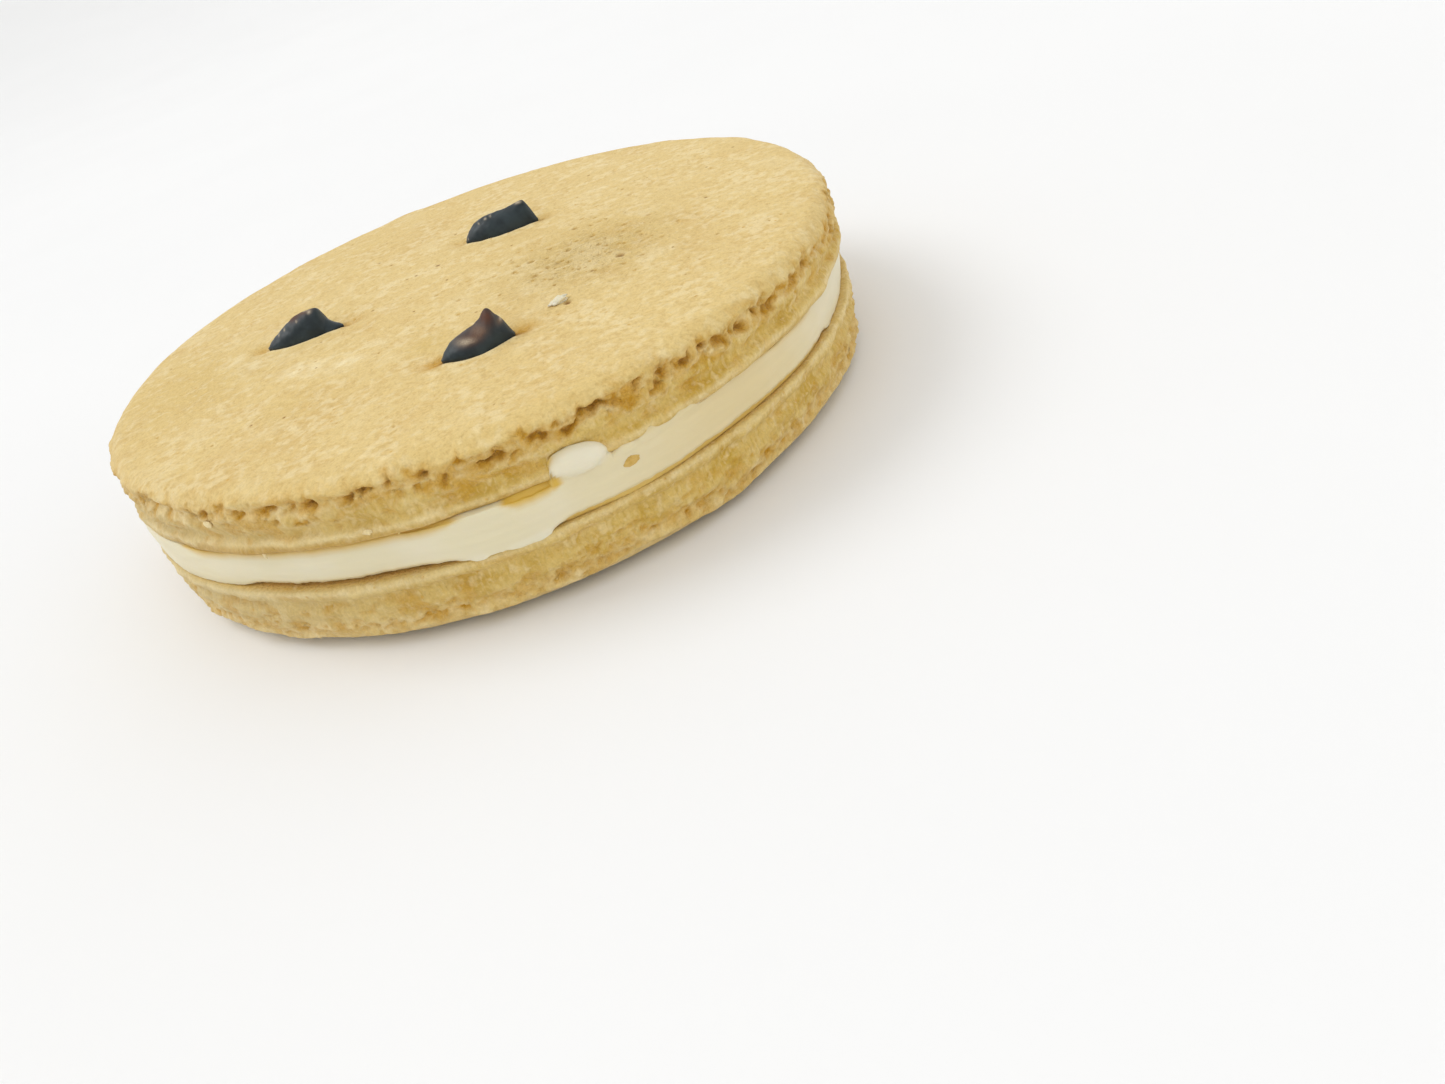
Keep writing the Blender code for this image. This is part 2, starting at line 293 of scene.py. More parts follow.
class Skin:
    """A closed skin under construction: spots and the triangles between them."""

    def __init__(self) -> None:
        """Starts with no spots and no triangles."""
        self.spots: list[Spot] = []
        self.faces: list[tuple[int, int, int]] = []

    def add(self, spots: Sequence[Spot]) -> list[int]:
        """Adds spots and returns their numbers."""
        self.spots.extend(spots)
        return list(range(len(self.spots) - len(spots), len(self.spots)))

    def zip_rings(self, first: list[int], second: list[int]) -> None:
        """Lays triangles between two rings, which may have different counts.

        Args:
            first: the numbers of one ring's spots.
            second: the numbers of the other ring's spots, in the same sense.
        """
        if len(second) == 1:
            first, second = second, first
        if len(first) == 1:
            count = len(second)
            self.faces.extend((first[0], second[j], second[(j + 1) % count]) for j in range(count))
            return
        i = 0
        j = 0
        while i < len(first) or j < len(second):
            if j < len(second) and (j + 1) * len(first) <= (i + 1) * len(second):
                self.faces.append((first[i % len(first)], second[j], second[(j + 1) % len(second)]))
                j += 1
            else:
                self.faces.append((first[i], second[j % len(second)], first[(i + 1) % len(first)]))
                i += 1

    def zip_all(self, rings: Sequence[list[int]]) -> None:
        """Lays triangles between each ring and the next."""
        for first, second in zip(rings, rings[1:]):
            self.zip_rings(first, second)

    def make(self, name: str, finish: bpy.types.Material, place: Matrix) -> bpy.types.Object:
        """Turns the skin into a piece of the scene, shaded smooth.

        Args:
            name: the piece's name.
            finish: its material.
            place: moves the skin from its own frame to the cookie's.

        Returns:
            The piece.
        """
        mesh = bpy.data.meshes.new(name)
        mesh.from_pydata([place @ spot.place for spot in self.spots], [], self.faces)
        for mark in Mark:
            values = mesh.attributes.new(mark.value, "FLOAT", "POINT")
            values.data.foreach_set("value", [getattr(spot, mark.value) for spot in self.spots])
        turn_outwards(mesh)
        mesh.shade_smooth()
        mesh.materials.append(finish)
        piece = bpy.data.objects.new(name, mesh)
        bpy.context.scene.collection.objects.link(piece)
        return piece


def turn_outwards(mesh: bpy.types.Mesh) -> None:
    """Makes the faces of the closed bodies of a mesh point outwards.

    Args:
        mesh: the mesh, which is changed.
    """
    shape = bmesh.new()
    shape.from_mesh(mesh)
    bmesh.ops.recalc_face_normals(shape, faces=shape.faces)
    shape.to_mesh(mesh)
    shape.free()


def settle(piece: bpy.types.Object, slot: Slot, *nodes: str) -> None:
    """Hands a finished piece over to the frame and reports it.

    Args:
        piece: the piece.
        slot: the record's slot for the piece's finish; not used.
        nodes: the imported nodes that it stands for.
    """
    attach(piece, BODY)
    if nodes:
        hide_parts(*nodes)
    log.info("%s: %d faces", piece.name, len(piece.data.polygons))


class Field:
    """A number that varies over a surface: one output socket, whose arithmetic adds Math nodes."""

    def __init__(self, shader: "Shader", socket: bpy.types.NodeSocket) -> None:
        """Keeps the shader that the socket belongs to."""
        self.shader = shader
        self.socket = socket

    def __add__(self, other: "Field | float") -> "Field":
        """The sum of this field and another value."""
        return self.shader.arithmetic("ADD", self, other)

    def __sub__(self, other: "Field | float") -> "Field":
        """This field less another value."""
        return self.shader.arithmetic("SUBTRACT", self, other)

    def __rsub__(self, other: float) -> "Field":
        """A number less this field."""
        return self.shader.arithmetic("SUBTRACT", other, self)

    def __mul__(self, other: "Field | float") -> "Field":
        """The product of this field and another value."""
        return self.shader.arithmetic("MULTIPLY", self, other)

    __radd__ = __add__
    __rmul__ = __mul__

    def mean(self, other: "Field") -> "Field":
        """The mean of this field and another."""
        return self * 0.5 + other * 0.5

    def around(self, middle: float, spread: float) -> "Field":
        """This field, which runs from 0 to 1, brought to a spread about a middle."""
        return self * spread + (middle - spread / 2.0)

    def rise(self, over: Rise) -> "Field":
        """A share that rises smoothly with the field.

        Args:
            over: where it starts, where it is complete, and how much it then counts.

        Returns:
            The share.
        """
        limits = {"Value": self, "From Min": over.low, "From Max": over.high}
        eased = self.shader.node("ShaderNodeMapRange", {"interpolation_type": "SMOOTHSTEP"}, limits)
        share = Field(self.shader, eased.outputs["Result"])
        return share if over.most == 1.0 else share * over.most


class Tint:
    """A colour that varies over a surface: one output socket, which Mix and Vector Math nodes change."""

    def __init__(self, shader: "Shader", socket: bpy.types.NodeSocket) -> None:
        """Keeps the shader that the socket belongs to."""
        self.shader = shader
        self.socket = socket

    def towards(self, other: "Tint | Colour", share: "Field | float") -> "Tint":
        """This colour mixed with a share of another."""
        return self.shader.mix(self, other, share)

    def scaled(self, factor: Field) -> "Tint":
        """This colour made lighter or darker by a factor that varies."""
        made = self.shader.node("ShaderNodeVectorMath", {"operation": "SCALE"}, {0: self, "Scale": factor})
        return Tint(self.shader, made.outputs["Vector"])


class Grain(NamedTuple):
    """Soft random grain: its lumps' size, the finer grains over it, how far it is bent and drawn out."""

    lump: float
    octaves: float = 2.0
    bent: float = 0.0
    stretch: Triple = EVEN


class Shader:
    """A material under construction, with the few kinds of node that the finishes are made of."""

    def __init__(self, name: str) -> None:
        """Starts a material with its Principled shader and the places on the surface."""
        self.material = bpy.data.materials.new(name)
        self.material.use_nodes = True
        self.tree = self.material.node_tree
        self.surface = self.tree.nodes["Principled BSDF"]
        self.places = self.node("ShaderNodeTexCoord", {}, {}).outputs["Object"]

    def node(
        self, kind: str, settings: dict[str, object], inputs: dict[str | int, object]
    ) -> bpy.types.Node:
        """Adds a node.

        Args:
            kind: the node's type.
            settings: its properties, which are set first.
            inputs: a value, a field, a tint or an output socket for each input, by name or number.

        Returns:
            The node.
        """
        made = self.tree.nodes.new(kind)
        for name, value in settings.items():
            setattr(made, name, value)
        for name, value in inputs.items():
            self.feed(made.inputs[name], value)
        return made

    def feed(self, target: bpy.types.NodeSocket, value: object) -> None:
        """Links or sets one input.

        Args:
            target: the input.
            value: a field, a tint or an output socket to link it to, or its value.
        """
        if isinstance(value, (Field, Tint)):
            self.tree.links.new(value.socket, target)
        elif isinstance(value, bpy.types.NodeSocket):
            self.tree.links.new(value, target)
        elif target.type == "RGBA":
            target.default_value = (*value, 1.0)
        else:
            target.default_value = value

    def arithmetic(self, operation: str, first: "Field | float", second: "Field | float") -> Field:
        """Adds a Math node for two values."""
        made = self.node("ShaderNodeMath", {"operation": operation}, {0: first, 1: second})
        return Field(self, made.outputs["Value"])

    def mix(self, first: Tint | Colour, second: Tint | Colour, share: Field | float) -> Tint:
        """Adds a Mix node for two colours.

        Args:
            first: the colour at share 0.
            second: the colour at share 1.
            share: how much of the second colour is mixed in.

        Returns:
            The mixed colour.
        """
        made = self.node("ShaderNodeMix", {"data_type": "RGBA"}, {})
        sockets = {socket.identifier: socket for socket in [*made.inputs, *made.outputs]}
        self.feed(sockets[MIX_SHARE], share)
        self.feed(sockets[MIX_FIRST], first)
        self.feed(sockets[MIX_SECOND], second)
        return Tint(self, sockets[MIX_RESULT])

    def mark(self, mark: Mark) -> Field:
        """What is written on the points of the skin."""
        made = self.node("ShaderNodeAttribute", {"attribute_name": mark.value}, {})
        return Field(self, made.outputs["Fac"])

    def drawn_out(self, stretch: Triple) -> bpy.types.NodeSocket:
        """The places on the surface, drawn out along the axes.

        Args:
            stretch: how far, for each axis.

        Returns:
            The socket that gives the places.
        """
        if stretch == EVEN:
            return self.places
        scale = tuple(1.0 / share for share in stretch)
        made = self.node("ShaderNodeVectorMath", {"operation": "MULTIPLY"}, {0: self.places, 1: scale})
        return made.outputs["Vector"]

    def grain(self, kind: Grain) -> Field:
        """Soft random grain.

        Args:
            kind: its size and form.

        Returns:
            The grain, from 0 to 1 and about 0.5 on average.
        """
        inputs = {
            "Vector": self.drawn_out(kind.stretch),
            "Scale": 1.0 / kind.lump,
            "Detail": kind.octaves,
            "Distortion": kind.bent,
        }
        return Field(self, self.node("ShaderNodeTexNoise", {}, inputs).outputs["Fac"])

    def cells(self, size: float) -> Field:
        """Distance from the middles of random cells, as a share of their size."""
        inputs = {"Vector": self.places, "Scale": 1.0 / size}
        return Field(self, self.node("ShaderNodeTexVoronoi", {}, inputs).outputs["Distance"])

    def relief(self, height: Field) -> None:
        """Lays fine relief over the surface, its height given in millimetres."""
        made = self.node("ShaderNodeBump", {}, {"Height": height, "Distance": MM, "Strength": 1.0})
        self.feed(self.surface.inputs["Normal"], made.outputs["Normal"])

    def cover(self, colour: Tint, roughness: Field, uniform: dict[str, object]) -> bpy.types.Material:
        """Sets the surface.

        Args:
            colour: its colour.
            roughness: its roughness.
            uniform: values that are the same all over, by the names of the shader's inputs.

        Returns:
            The finished material.
        """
        self.feed(self.surface.inputs["Base Color"], colour)
        self.feed(self.surface.inputs["Roughness"], roughness)
        for name, value in uniform.items():
            self.feed(self.surface.inputs[name], value)
        return self.material


@dataclass(frozen=True)
class CrustFinish:
    """Matt baked crust: pale golden face, duller side, golden-brown where it is torn or pitted."""

    name: str
    face: Colour = (0.728, 0.542, 0.222)
    face_light: Colour = (0.84, 0.69, 0.38)
    face_gold: Colour = (0.63, 0.42, 0.135)
    face_dull_and_shade: Colour = (0.57, 0.42, 0.17)
    side: Colour = (0.655, 0.462, 0.136)
    side_light: Colour = (0.78, 0.61, 0.29)
    side_gold: Colour = (0.52, 0.315, 0.032)
    # Painted shade: the greyer, duller colour of the wall in places and under the lip.
    grey_shade: Colour = (0.60, 0.47, 0.225)
    # Colour of flour smudges; through the pale mark it also paints the lip's highlight line and lightens the
    # painted shade in the gap under the cream.
    flour: Colour = (0.88, 0.75, 0.45)
    torn: Colour = (0.57, 0.29, 0.012)
    # Dark brown of the face's specks; it also paints shade deep in the tears, at the chips' feet and under
    # the lip.
    speck_and_shade_brown: Colour = (0.21, 0.072, 0.006)
    patch: Grain = Grain(11.0 * MM, 1.0)
    mottle: Grain = Grain(3.2 * MM, bent=0.6)
    crumb: Grain = Grain(0.95 * MM, bent=0.3)
    grain: Grain = Grain(0.36 * MM, bent=0.25)
    dust: Grain = Grain(0.15 * MM, 1.0)
    fibre: Grain = Grain(0.28 * MM, 1.0, stretch=(1.0, 1.0, 4.5))
    pore: float = 1.3 * MM
    gold_patches: Rise = Rise(0.46, 0.66, 0.55)
    light_mottles: Rise = Rise(0.47, 0.64, 0.60)
    gold_grains: Rise = Rise(0.50, 0.36, 0.42)
    side_mottles: Rise = Rise(0.46, 0.62, 0.90)
    side_crumbs: Rise = Rise(0.52, 0.70, 0.70)
    light_fibres: Rise = Rise(0.54, 0.70, 0.32)
    gold_fibres: Rise = Rise(0.45, 0.30, 0.38)
    dull_crumbs: Rise = Rise(0.62, 0.38, 0.60)
    dull_all_over: float = 0.20
    torn_crumbs: Rise = Rise(0.58, 0.38, 0.30)
    torn_all_over: float = 0.70
    pore_edge: Rise = Rise(0.05, 0.16)
    pore_places: Rise = Rise(0.50, 0.62, 0.60)
    shade: float = 0.48
    grain_relief: float = 0.10
    crumb_relief: float = 0.10
    dust_relief: float = 0.04
    fibre_relief: float = 0.04
    pore_relief: float = 0.03
    torn_relief: float = 0.16
    crinkled_crumb_relief: float = 0.22
    crinkled_grain_relief: float = 0.33
    roughness: float = 0.80
    roughness_spread: float = 0.12
    specular: float = 0.22
    sheen: float = 0.08
    sheen_roughness: float = 0.6

    def make(self) -> bpy.types.Material:
        """Builds the material."""
        shader = Shader(self.name)
        side, torn, crinkled = [shader.mark(mark) for mark in (Mark.SIDE, Mark.TORN, Mark.CRINKLED)]
        patches, mottles, crumbs = [shader.grain(kind) for kind in (self.patch, self.mottle, self.crumb)]
        grains, fibres, dust = [shader.grain(kind) for kind in (self.grain, self.fibre, self.dust)]
        face = shader.mix(self.face, self.face_gold, patches.mean(mottles).rise(self.gold_patches))
        face = face.towards(self.face_light, mottles.mean(crumbs).rise(self.light_mottles))
        face = face.towards(self.face_gold, grains.mean(crumbs).rise(self.gold_grains))
        # The porous patch is painted duller: partly its own tint, partly painted shadow.
        face = face.towards(self.face_dull_and_shade, crinkled * (crumbs.rise(self.dull_crumbs) + self.dull_all_over))
        wall = shader.mix(self.side, self.side_gold, mottles.mean(crumbs).rise(self.side_mottles))
        wall = wall.towards(self.side_light, crumbs.rise(self.side_crumbs))
        wall = wall.towards(self.side_light, fibres.rise(self.light_fibres))
        wall = wall.towards(self.side_gold, fibres.rise(self.gold_fibres))
        wall = wall.towards(self.grey_shade, shader.mark(Mark.GREY_SHADE))
        colour = face.towards(wall, side).towards(self.flour, shader.mark(Mark.PALE))
        torn_share = torn * (grains.mean(crumbs).rise(self.torn_crumbs) + self.torn_all_over)
        colour = colour.towards(self.torn, torn_share).towards(self.speck_and_shade_brown, shader.mark(Mark.BROWN))
        pores = 1.0 - shader.cells(self.pore).rise(self.pore_edge)
        colour = colour.towards(self.torn, pores * mottles.rise(self.pore_places))
        colour = colour.scaled(grains.mean(dust).around(1.0, self.shade))
        height = grains * self.grain_relief + crumbs * self.crumb_relief + dust * self.dust_relief
        height = height + (side * fibres) * self.fibre_relief - pores * self.pore_relief
        height = height + torn * grains * self.torn_relief
        crinkles = crumbs * self.crinkled_crumb_relief + grains * self.crinkled_grain_relief
        shader.relief(height + crinkled * crinkles)
        uniform = {
            "Specular IOR Level": self.specular,
            "Sheen Weight": self.sheen,
            "Sheen Roughness": self.sheen_roughness,
        }
        return shader.cover(colour, grains.around(self.roughness, self.roughness_spread), uniform)


@dataclass(frozen=True)
class CreamFinish:
    """Satin ivory cream: whiter where freshly squeezed out, amber with painted shade in the seams' gaps,
    yellower where thin over crust and in places.
    """

    name: str = "cream_filling"
    ivory: Colour = (0.775, 0.705, 0.485)
    white: Colour = (0.85, 0.80, 0.67)
    # The painted amber shade of the seams' gaps, also the tint of cream thin over crust and of its yellower
    # places.
    amber_shade_and_tint: Colour = (0.68, 0.44, 0.07)
    cloud: Grain = Grain(5.0 * MM)
    streak: Grain = Grain(0.5 * MM, stretch=(9.0, 9.0, 1.0))
    grain: Grain = Grain(0.3 * MM)
    white_clouds: Rise = Rise(0.35, 0.75, 0.25)
    shade: float = 0.08
    streak_relief: float = 0.03
    grain_relief: float = 0.012
    roughness: float = 0.42
    roughness_spread: float = 0.10
    specular: float = 0.4
    scatter: float = 0.25
    scatter_colour: Colour = (1.0, 0.8, 0.5)
    scatter_depth: float = 0.6 * MM

    def make(self) -> bpy.types.Material:
        """Builds the material."""
        shader = Shader(self.name)
        clouds, streaks, grains = [shader.grain(kind) for kind in (self.cloud, self.streak, self.grain)]
        colour = shader.mix(self.ivory, self.white, clouds.rise(self.white_clouds))
        colour = colour.towards(self.white, shader.mark(Mark.PALE))
        colour = colour.towards(self.amber_shade_and_tint, shader.mark(Mark.BROWN))
        colour = colour.scaled(streaks.around(1.0, self.shade))
        shader.relief(streaks * self.streak_relief + grains * self.grain_relief)
        uniform = {
            "Subsurface Weight": self.scatter,
            "Subsurface Radius": self.scatter_colour,
            "Subsurface Scale": self.scatter_depth,
            "Specular IOR Level": self.specular,
        }
        return shader.cover(colour, grains.around(self.roughness, self.roughness_spread), uniform)


@dataclass(frozen=True)
class ChocolateFinish:
    """Satin dark chocolate, near black with a painted cold reflection, with brown bloom in places and painted
    white glints and sheen.
    """

    name: str = "dark_chocolate"
    # Both tones are painted with a cold, bluish cast that stands in for the chips' reflection of their
    # surroundings.
    dark: Colour = (0.009, 0.017, 0.021)
    slate: Colour = (0.020, 0.033, 0.038)
    bloom: Colour = (0.088, 0.030, 0.012)
    # Painted white glints and sheen on the chips' ridges and faces.
    painted_glint: Colour = (0.46, 0.38, 0.27)
    cloud: Grain = Grain(1.4 * MM)
    grain: Grain = Grain(0.12 * MM)
    slate_clouds: Rise = Rise(0.35, 0.65)
    bloom_spread: float = 0.8
    glint_spread: float = 1.4
    grain_relief: float = 0.01
    cloud_relief: float = 0.02
    glint_relief: float = 0.02
    roughness: float = 0.42
    roughness_spread: float = 0.12
    bloom_roughness: float = 0.20
    glint_roughness: float = 0.12
    specular: float = 0.32

    def make(self) -> bpy.types.Material:
        """Builds the material."""
        shader = Shader(self.name)
        clouds, grains = [shader.grain(kind) for kind in (self.cloud, self.grain)]
        bloom, painted_glint = [shader.mark(mark) for mark in (Mark.BROWN, Mark.PALE)]
        colour = shader.mix(self.dark, self.slate, clouds.rise(self.slate_clouds))
        colour = colour.towards(self.bloom, bloom * grains.around(1.0, self.bloom_spread))
        colour = colour.towards(self.painted_glint, painted_glint * grains.around(1.0, self.glint_spread))
        height = grains * self.grain_relief + clouds * self.cloud_relief
        shader.relief(height + painted_glint * self.glint_relief)
        roughness = grains.around(self.roughness, self.roughness_spread) + bloom * self.bloom_roughness
        roughness = roughness + painted_glint * self.glint_roughness
        return shader.cover(colour, roughness, {"Specular IOR Level": self.specular})


@dataclass(frozen=True)
class FloorFinish:
    """Pale matt studio floor."""

    name: str = "studio_floor"
    pale: Colour = (0.90, 0.90, 0.895)
    shade: Colour = (0.87, 0.87, 0.865)
    cloud: Grain = Grain(60.0 * MM)
    roughness: float = 0.85
    roughness_spread: float = 0.1

    def make(self) -> bpy.types.Material:
        """Builds the material."""
        shader = Shader(self.name)
        clouds = shader.grain(self.cloud)
        roughness = clouds.around(self.roughness, self.roughness_spread)
        return shader.cover(shader.mix(self.pale, self.shade, clouds), roughness, {})


@dataclass(frozen=True)
class Tear:
    """A hole torn in the crust: angle and tilt in degrees, height above the biscuit's base."""

    angle: float
    height: float
    half_length: float
    half_height: float
    tilt: float
    depth: float

    def away(self, along: float, up: float) -> float:
        """Reads how far a place is from the middle.

        Args:
            along: how far it lies along the wall from the middle.
            up: how far it lies above the middle.

        Returns:
            The distance, as a share of the hole's size.
        """
        turn = math.radians(self.tilt)
        x = along * math.cos(turn) + up * math.sin(turn)
        y = up * math.cos(turn) - along * math.sin(turn)
        return math.hypot(x / self.half_length, y / self.half_height)


# The tears that show in front, left to right. Lengths are in millimetres here.
FRONT_TEARS = tuple(
    Tear(angle, height * MM, half_length * MM, half_height * MM, tilt, depth * MM)
    for angle, height, half_length, half_height, tilt, depth in (
        (-143.0, 3.7, 0.45, 0.30, 0.0, 0.45),
        (-137.8, 3.6, 0.75, 0.27, -15.0, 0.7),
        (-134.6, 3.4, 0.45, 0.32, 25.0, 0.9),
        (-131.4, 4.0, 0.60, 0.39, 0.0, 0.6),
        (-128.6, 3.3, 0.55, 0.27, 10.0, 0.8),
        (-124.4, 3.6, 0.95, 0.32, 14.0, 1.0),
        (-119.8, 2.3, 0.55, 0.27, 0.0, 0.5),
        (-117.8, 3.4, 0.75, 0.37, 0.0, 1.3),
        (-112.9, 3.45, 0.55, 0.34, 12.0, 1.1),
        (-110.7, 3.65, 0.60, 0.33, 15.0, 1.2),
        (-107.3, 3.95, 0.38, 0.37, 20.0, 1.1),
        (-103.8, 3.6, 0.75, 0.39, 15.0, 1.2),
        (-101.2, 2.9, 0.50, 0.46, 25.0, 1.0),
        (-99.0, 3.8, 0.32, 0.32, 0.0, 0.8),
        (-95.9, 3.05, 1.25, 0.33, 8.0, 1.2),
        (-93.2, 2.7, 0.45, 0.29, 0.0, 0.8),
        (-91.4, 3.8, 0.45, 0.32, 10.0, 0.6),
        (-89.8, 3.3, 0.80, 0.40, 0.0, 1.1),
        (-87.4, 3.75, 0.38, 0.29, 0.0, 0.7),
        (-85.9, 3.1, 0.95, 0.28, 18.0, 1.2),
        (-83.0, 3.55, 1.35, 0.33, 2.0, 1.5),
        (-80.3, 3.3, 0.70, 0.32, -25.0, 0.8),
        (-78.6, 2.8, 0.70, 0.39, 0.0, 0.7),
        (-77.2, 3.6, 0.60, 0.32, 10.0, 0.9),
        (-74.8, 2.7, 0.50, 0.44, 0.0, 1.1),
        (-73.4, 3.4, 0.50, 0.34, 0.0, 0.8),
        (-70.6, 3.35, 0.75, 0.39, 10.0, 1.2),
    )
)


class Torn(NamedTuple):
    """How the crust is broken at a place: how far in and out, and what shows of it, from 0 to 1."""

    inwards: float = 0.0
    brim: float = 0.0
    torn: float = 0.0
    pale: float = 0.0
    brown: float = 0.0


@dataclass(frozen=True)
class TearLook:
    """How the crust looks in and round a tear, by the distance from its middle in shares of its size."""

    reach: float = 2.4
    hole: Rise = Rise(0.1, 1.45, 0.50)
    core: Rise = Rise(0.70, 1.40)
    stain: Rise = Rise(1.1, 2.3, 0.55)
    # Painted shade: deep tears are dark brown in their middles, the more so the deeper they are.
    deep_shade: Rise = Rise(0.1, 1.05, 0.62)
    below: Rise = Rise(-0.1, 0.9)
    brim_away: float = 1.55
    brim_width: float = 0.40
    brim: float = 0.10 * MM
    brim_pale: float = 0.55
    ragged_size: float = 0.28 * MM
    full_depth: float = 0.45 * MM
    deep_shade_depth: float = 1.2 * MM

    def read(self, tear: Tear, up: float, away: float) -> Torn:
        """Reads one tear.

        Args:
            tear: the tear.
            up: how far a place lies above its middle.
            away: how far it is from the middle, as a share of the tear's size.

        Returns:
            How the crust is torn there.
        """
        size = min(tear.depth / self.full_depth, 1.0)
        deep = min(tear.depth / self.deep_shade_depth, 1.0) ** 2
        brim = hill((away - self.brim_away) / self.brim_width) * size * self.below.at(-up / tear.half_height)
        return Torn(
            inwards=tear.depth * self.hole.left(away),
            brim=self.brim * brim,
            torn=size * max(self.core.left(away), self.stain.left(away)),
            pale=self.brim_pale * brim,
            brown=deep * self.deep_shade.left(away),
        )


@dataclass(frozen=True)
class Pit:
    """A small pit in a baked face: how brown it is and how far it is drawn out along X."""

    x: float
    y: float
    radius: float
    depth: float
    brown: float
    stretch: float = 1.0

    def away(self, x: float, y: float) -> float:
        """How far a place is from the middle, in radii."""
        return math.hypot((x - self.x) / self.stretch, y - self.y) / self.radius


# The brown specks and the larger pits that show on the upper face. Lengths are in millimetres here.
FACE_PITS = tuple(
    Pit(x * MM, y * MM, radius * MM, depth * MM, brown)
    for x, y, radius, depth, brown in (
        (-1.8, 5.8, 0.26, 0.10, 0.95),
        (-4.1, 5.3, 0.19, 0.08, 0.80),
        (-1.5, 0.0, 0.14, 0.06, 0.75),
        (-8.9, 0.0, 0.19, 0.08, 0.80),
        (-7.4, 15.3, 0.16, 0.06, 0.60),
        (-2.9, -3.1, 0.24, 0.16, 0.30),
        (-1.2, -7.1, 0.27, 0.18, 0.25),
        (12.3, -4.2, 0.28, 0.30, 0.85),
        (13.0, -12.2, 0.42, 0.30, 0.70),
        (11.5, 0.1, 0.30, 0.22, 0.45),
        (8.3, -3.0, 0.30, 0.24, 0.40),
        (9.6, -5.6, 0.34, 0.26, 0.45),
        (6.1, -4.8, 0.36, 0.22, 0.35),
        (5.7, -8.8, 0.34, 0.22, 0.35),
        (8.1, -7.9, 0.28, 0.18, 0.30),
        (6.75, -17.95, 0.34, 0.14, 0.75),
    )
)


@dataclass(frozen=True)
class BloomAndGlint:
    """A patch on a chip, placed and sized in shares of its length and height: its brown share is bloom, its
    pale share painted glints and sheen.
    """

    along: float
    up: float
    long: float
    high: float
    brown: float = 0.0
    pale: float = 0.0

    def share(self, along: float, up: float) -> float:
        """How strongly a place is covered."""
        return hill(math.hypot((along - self.along) / self.long, (up - self.up) / self.high))


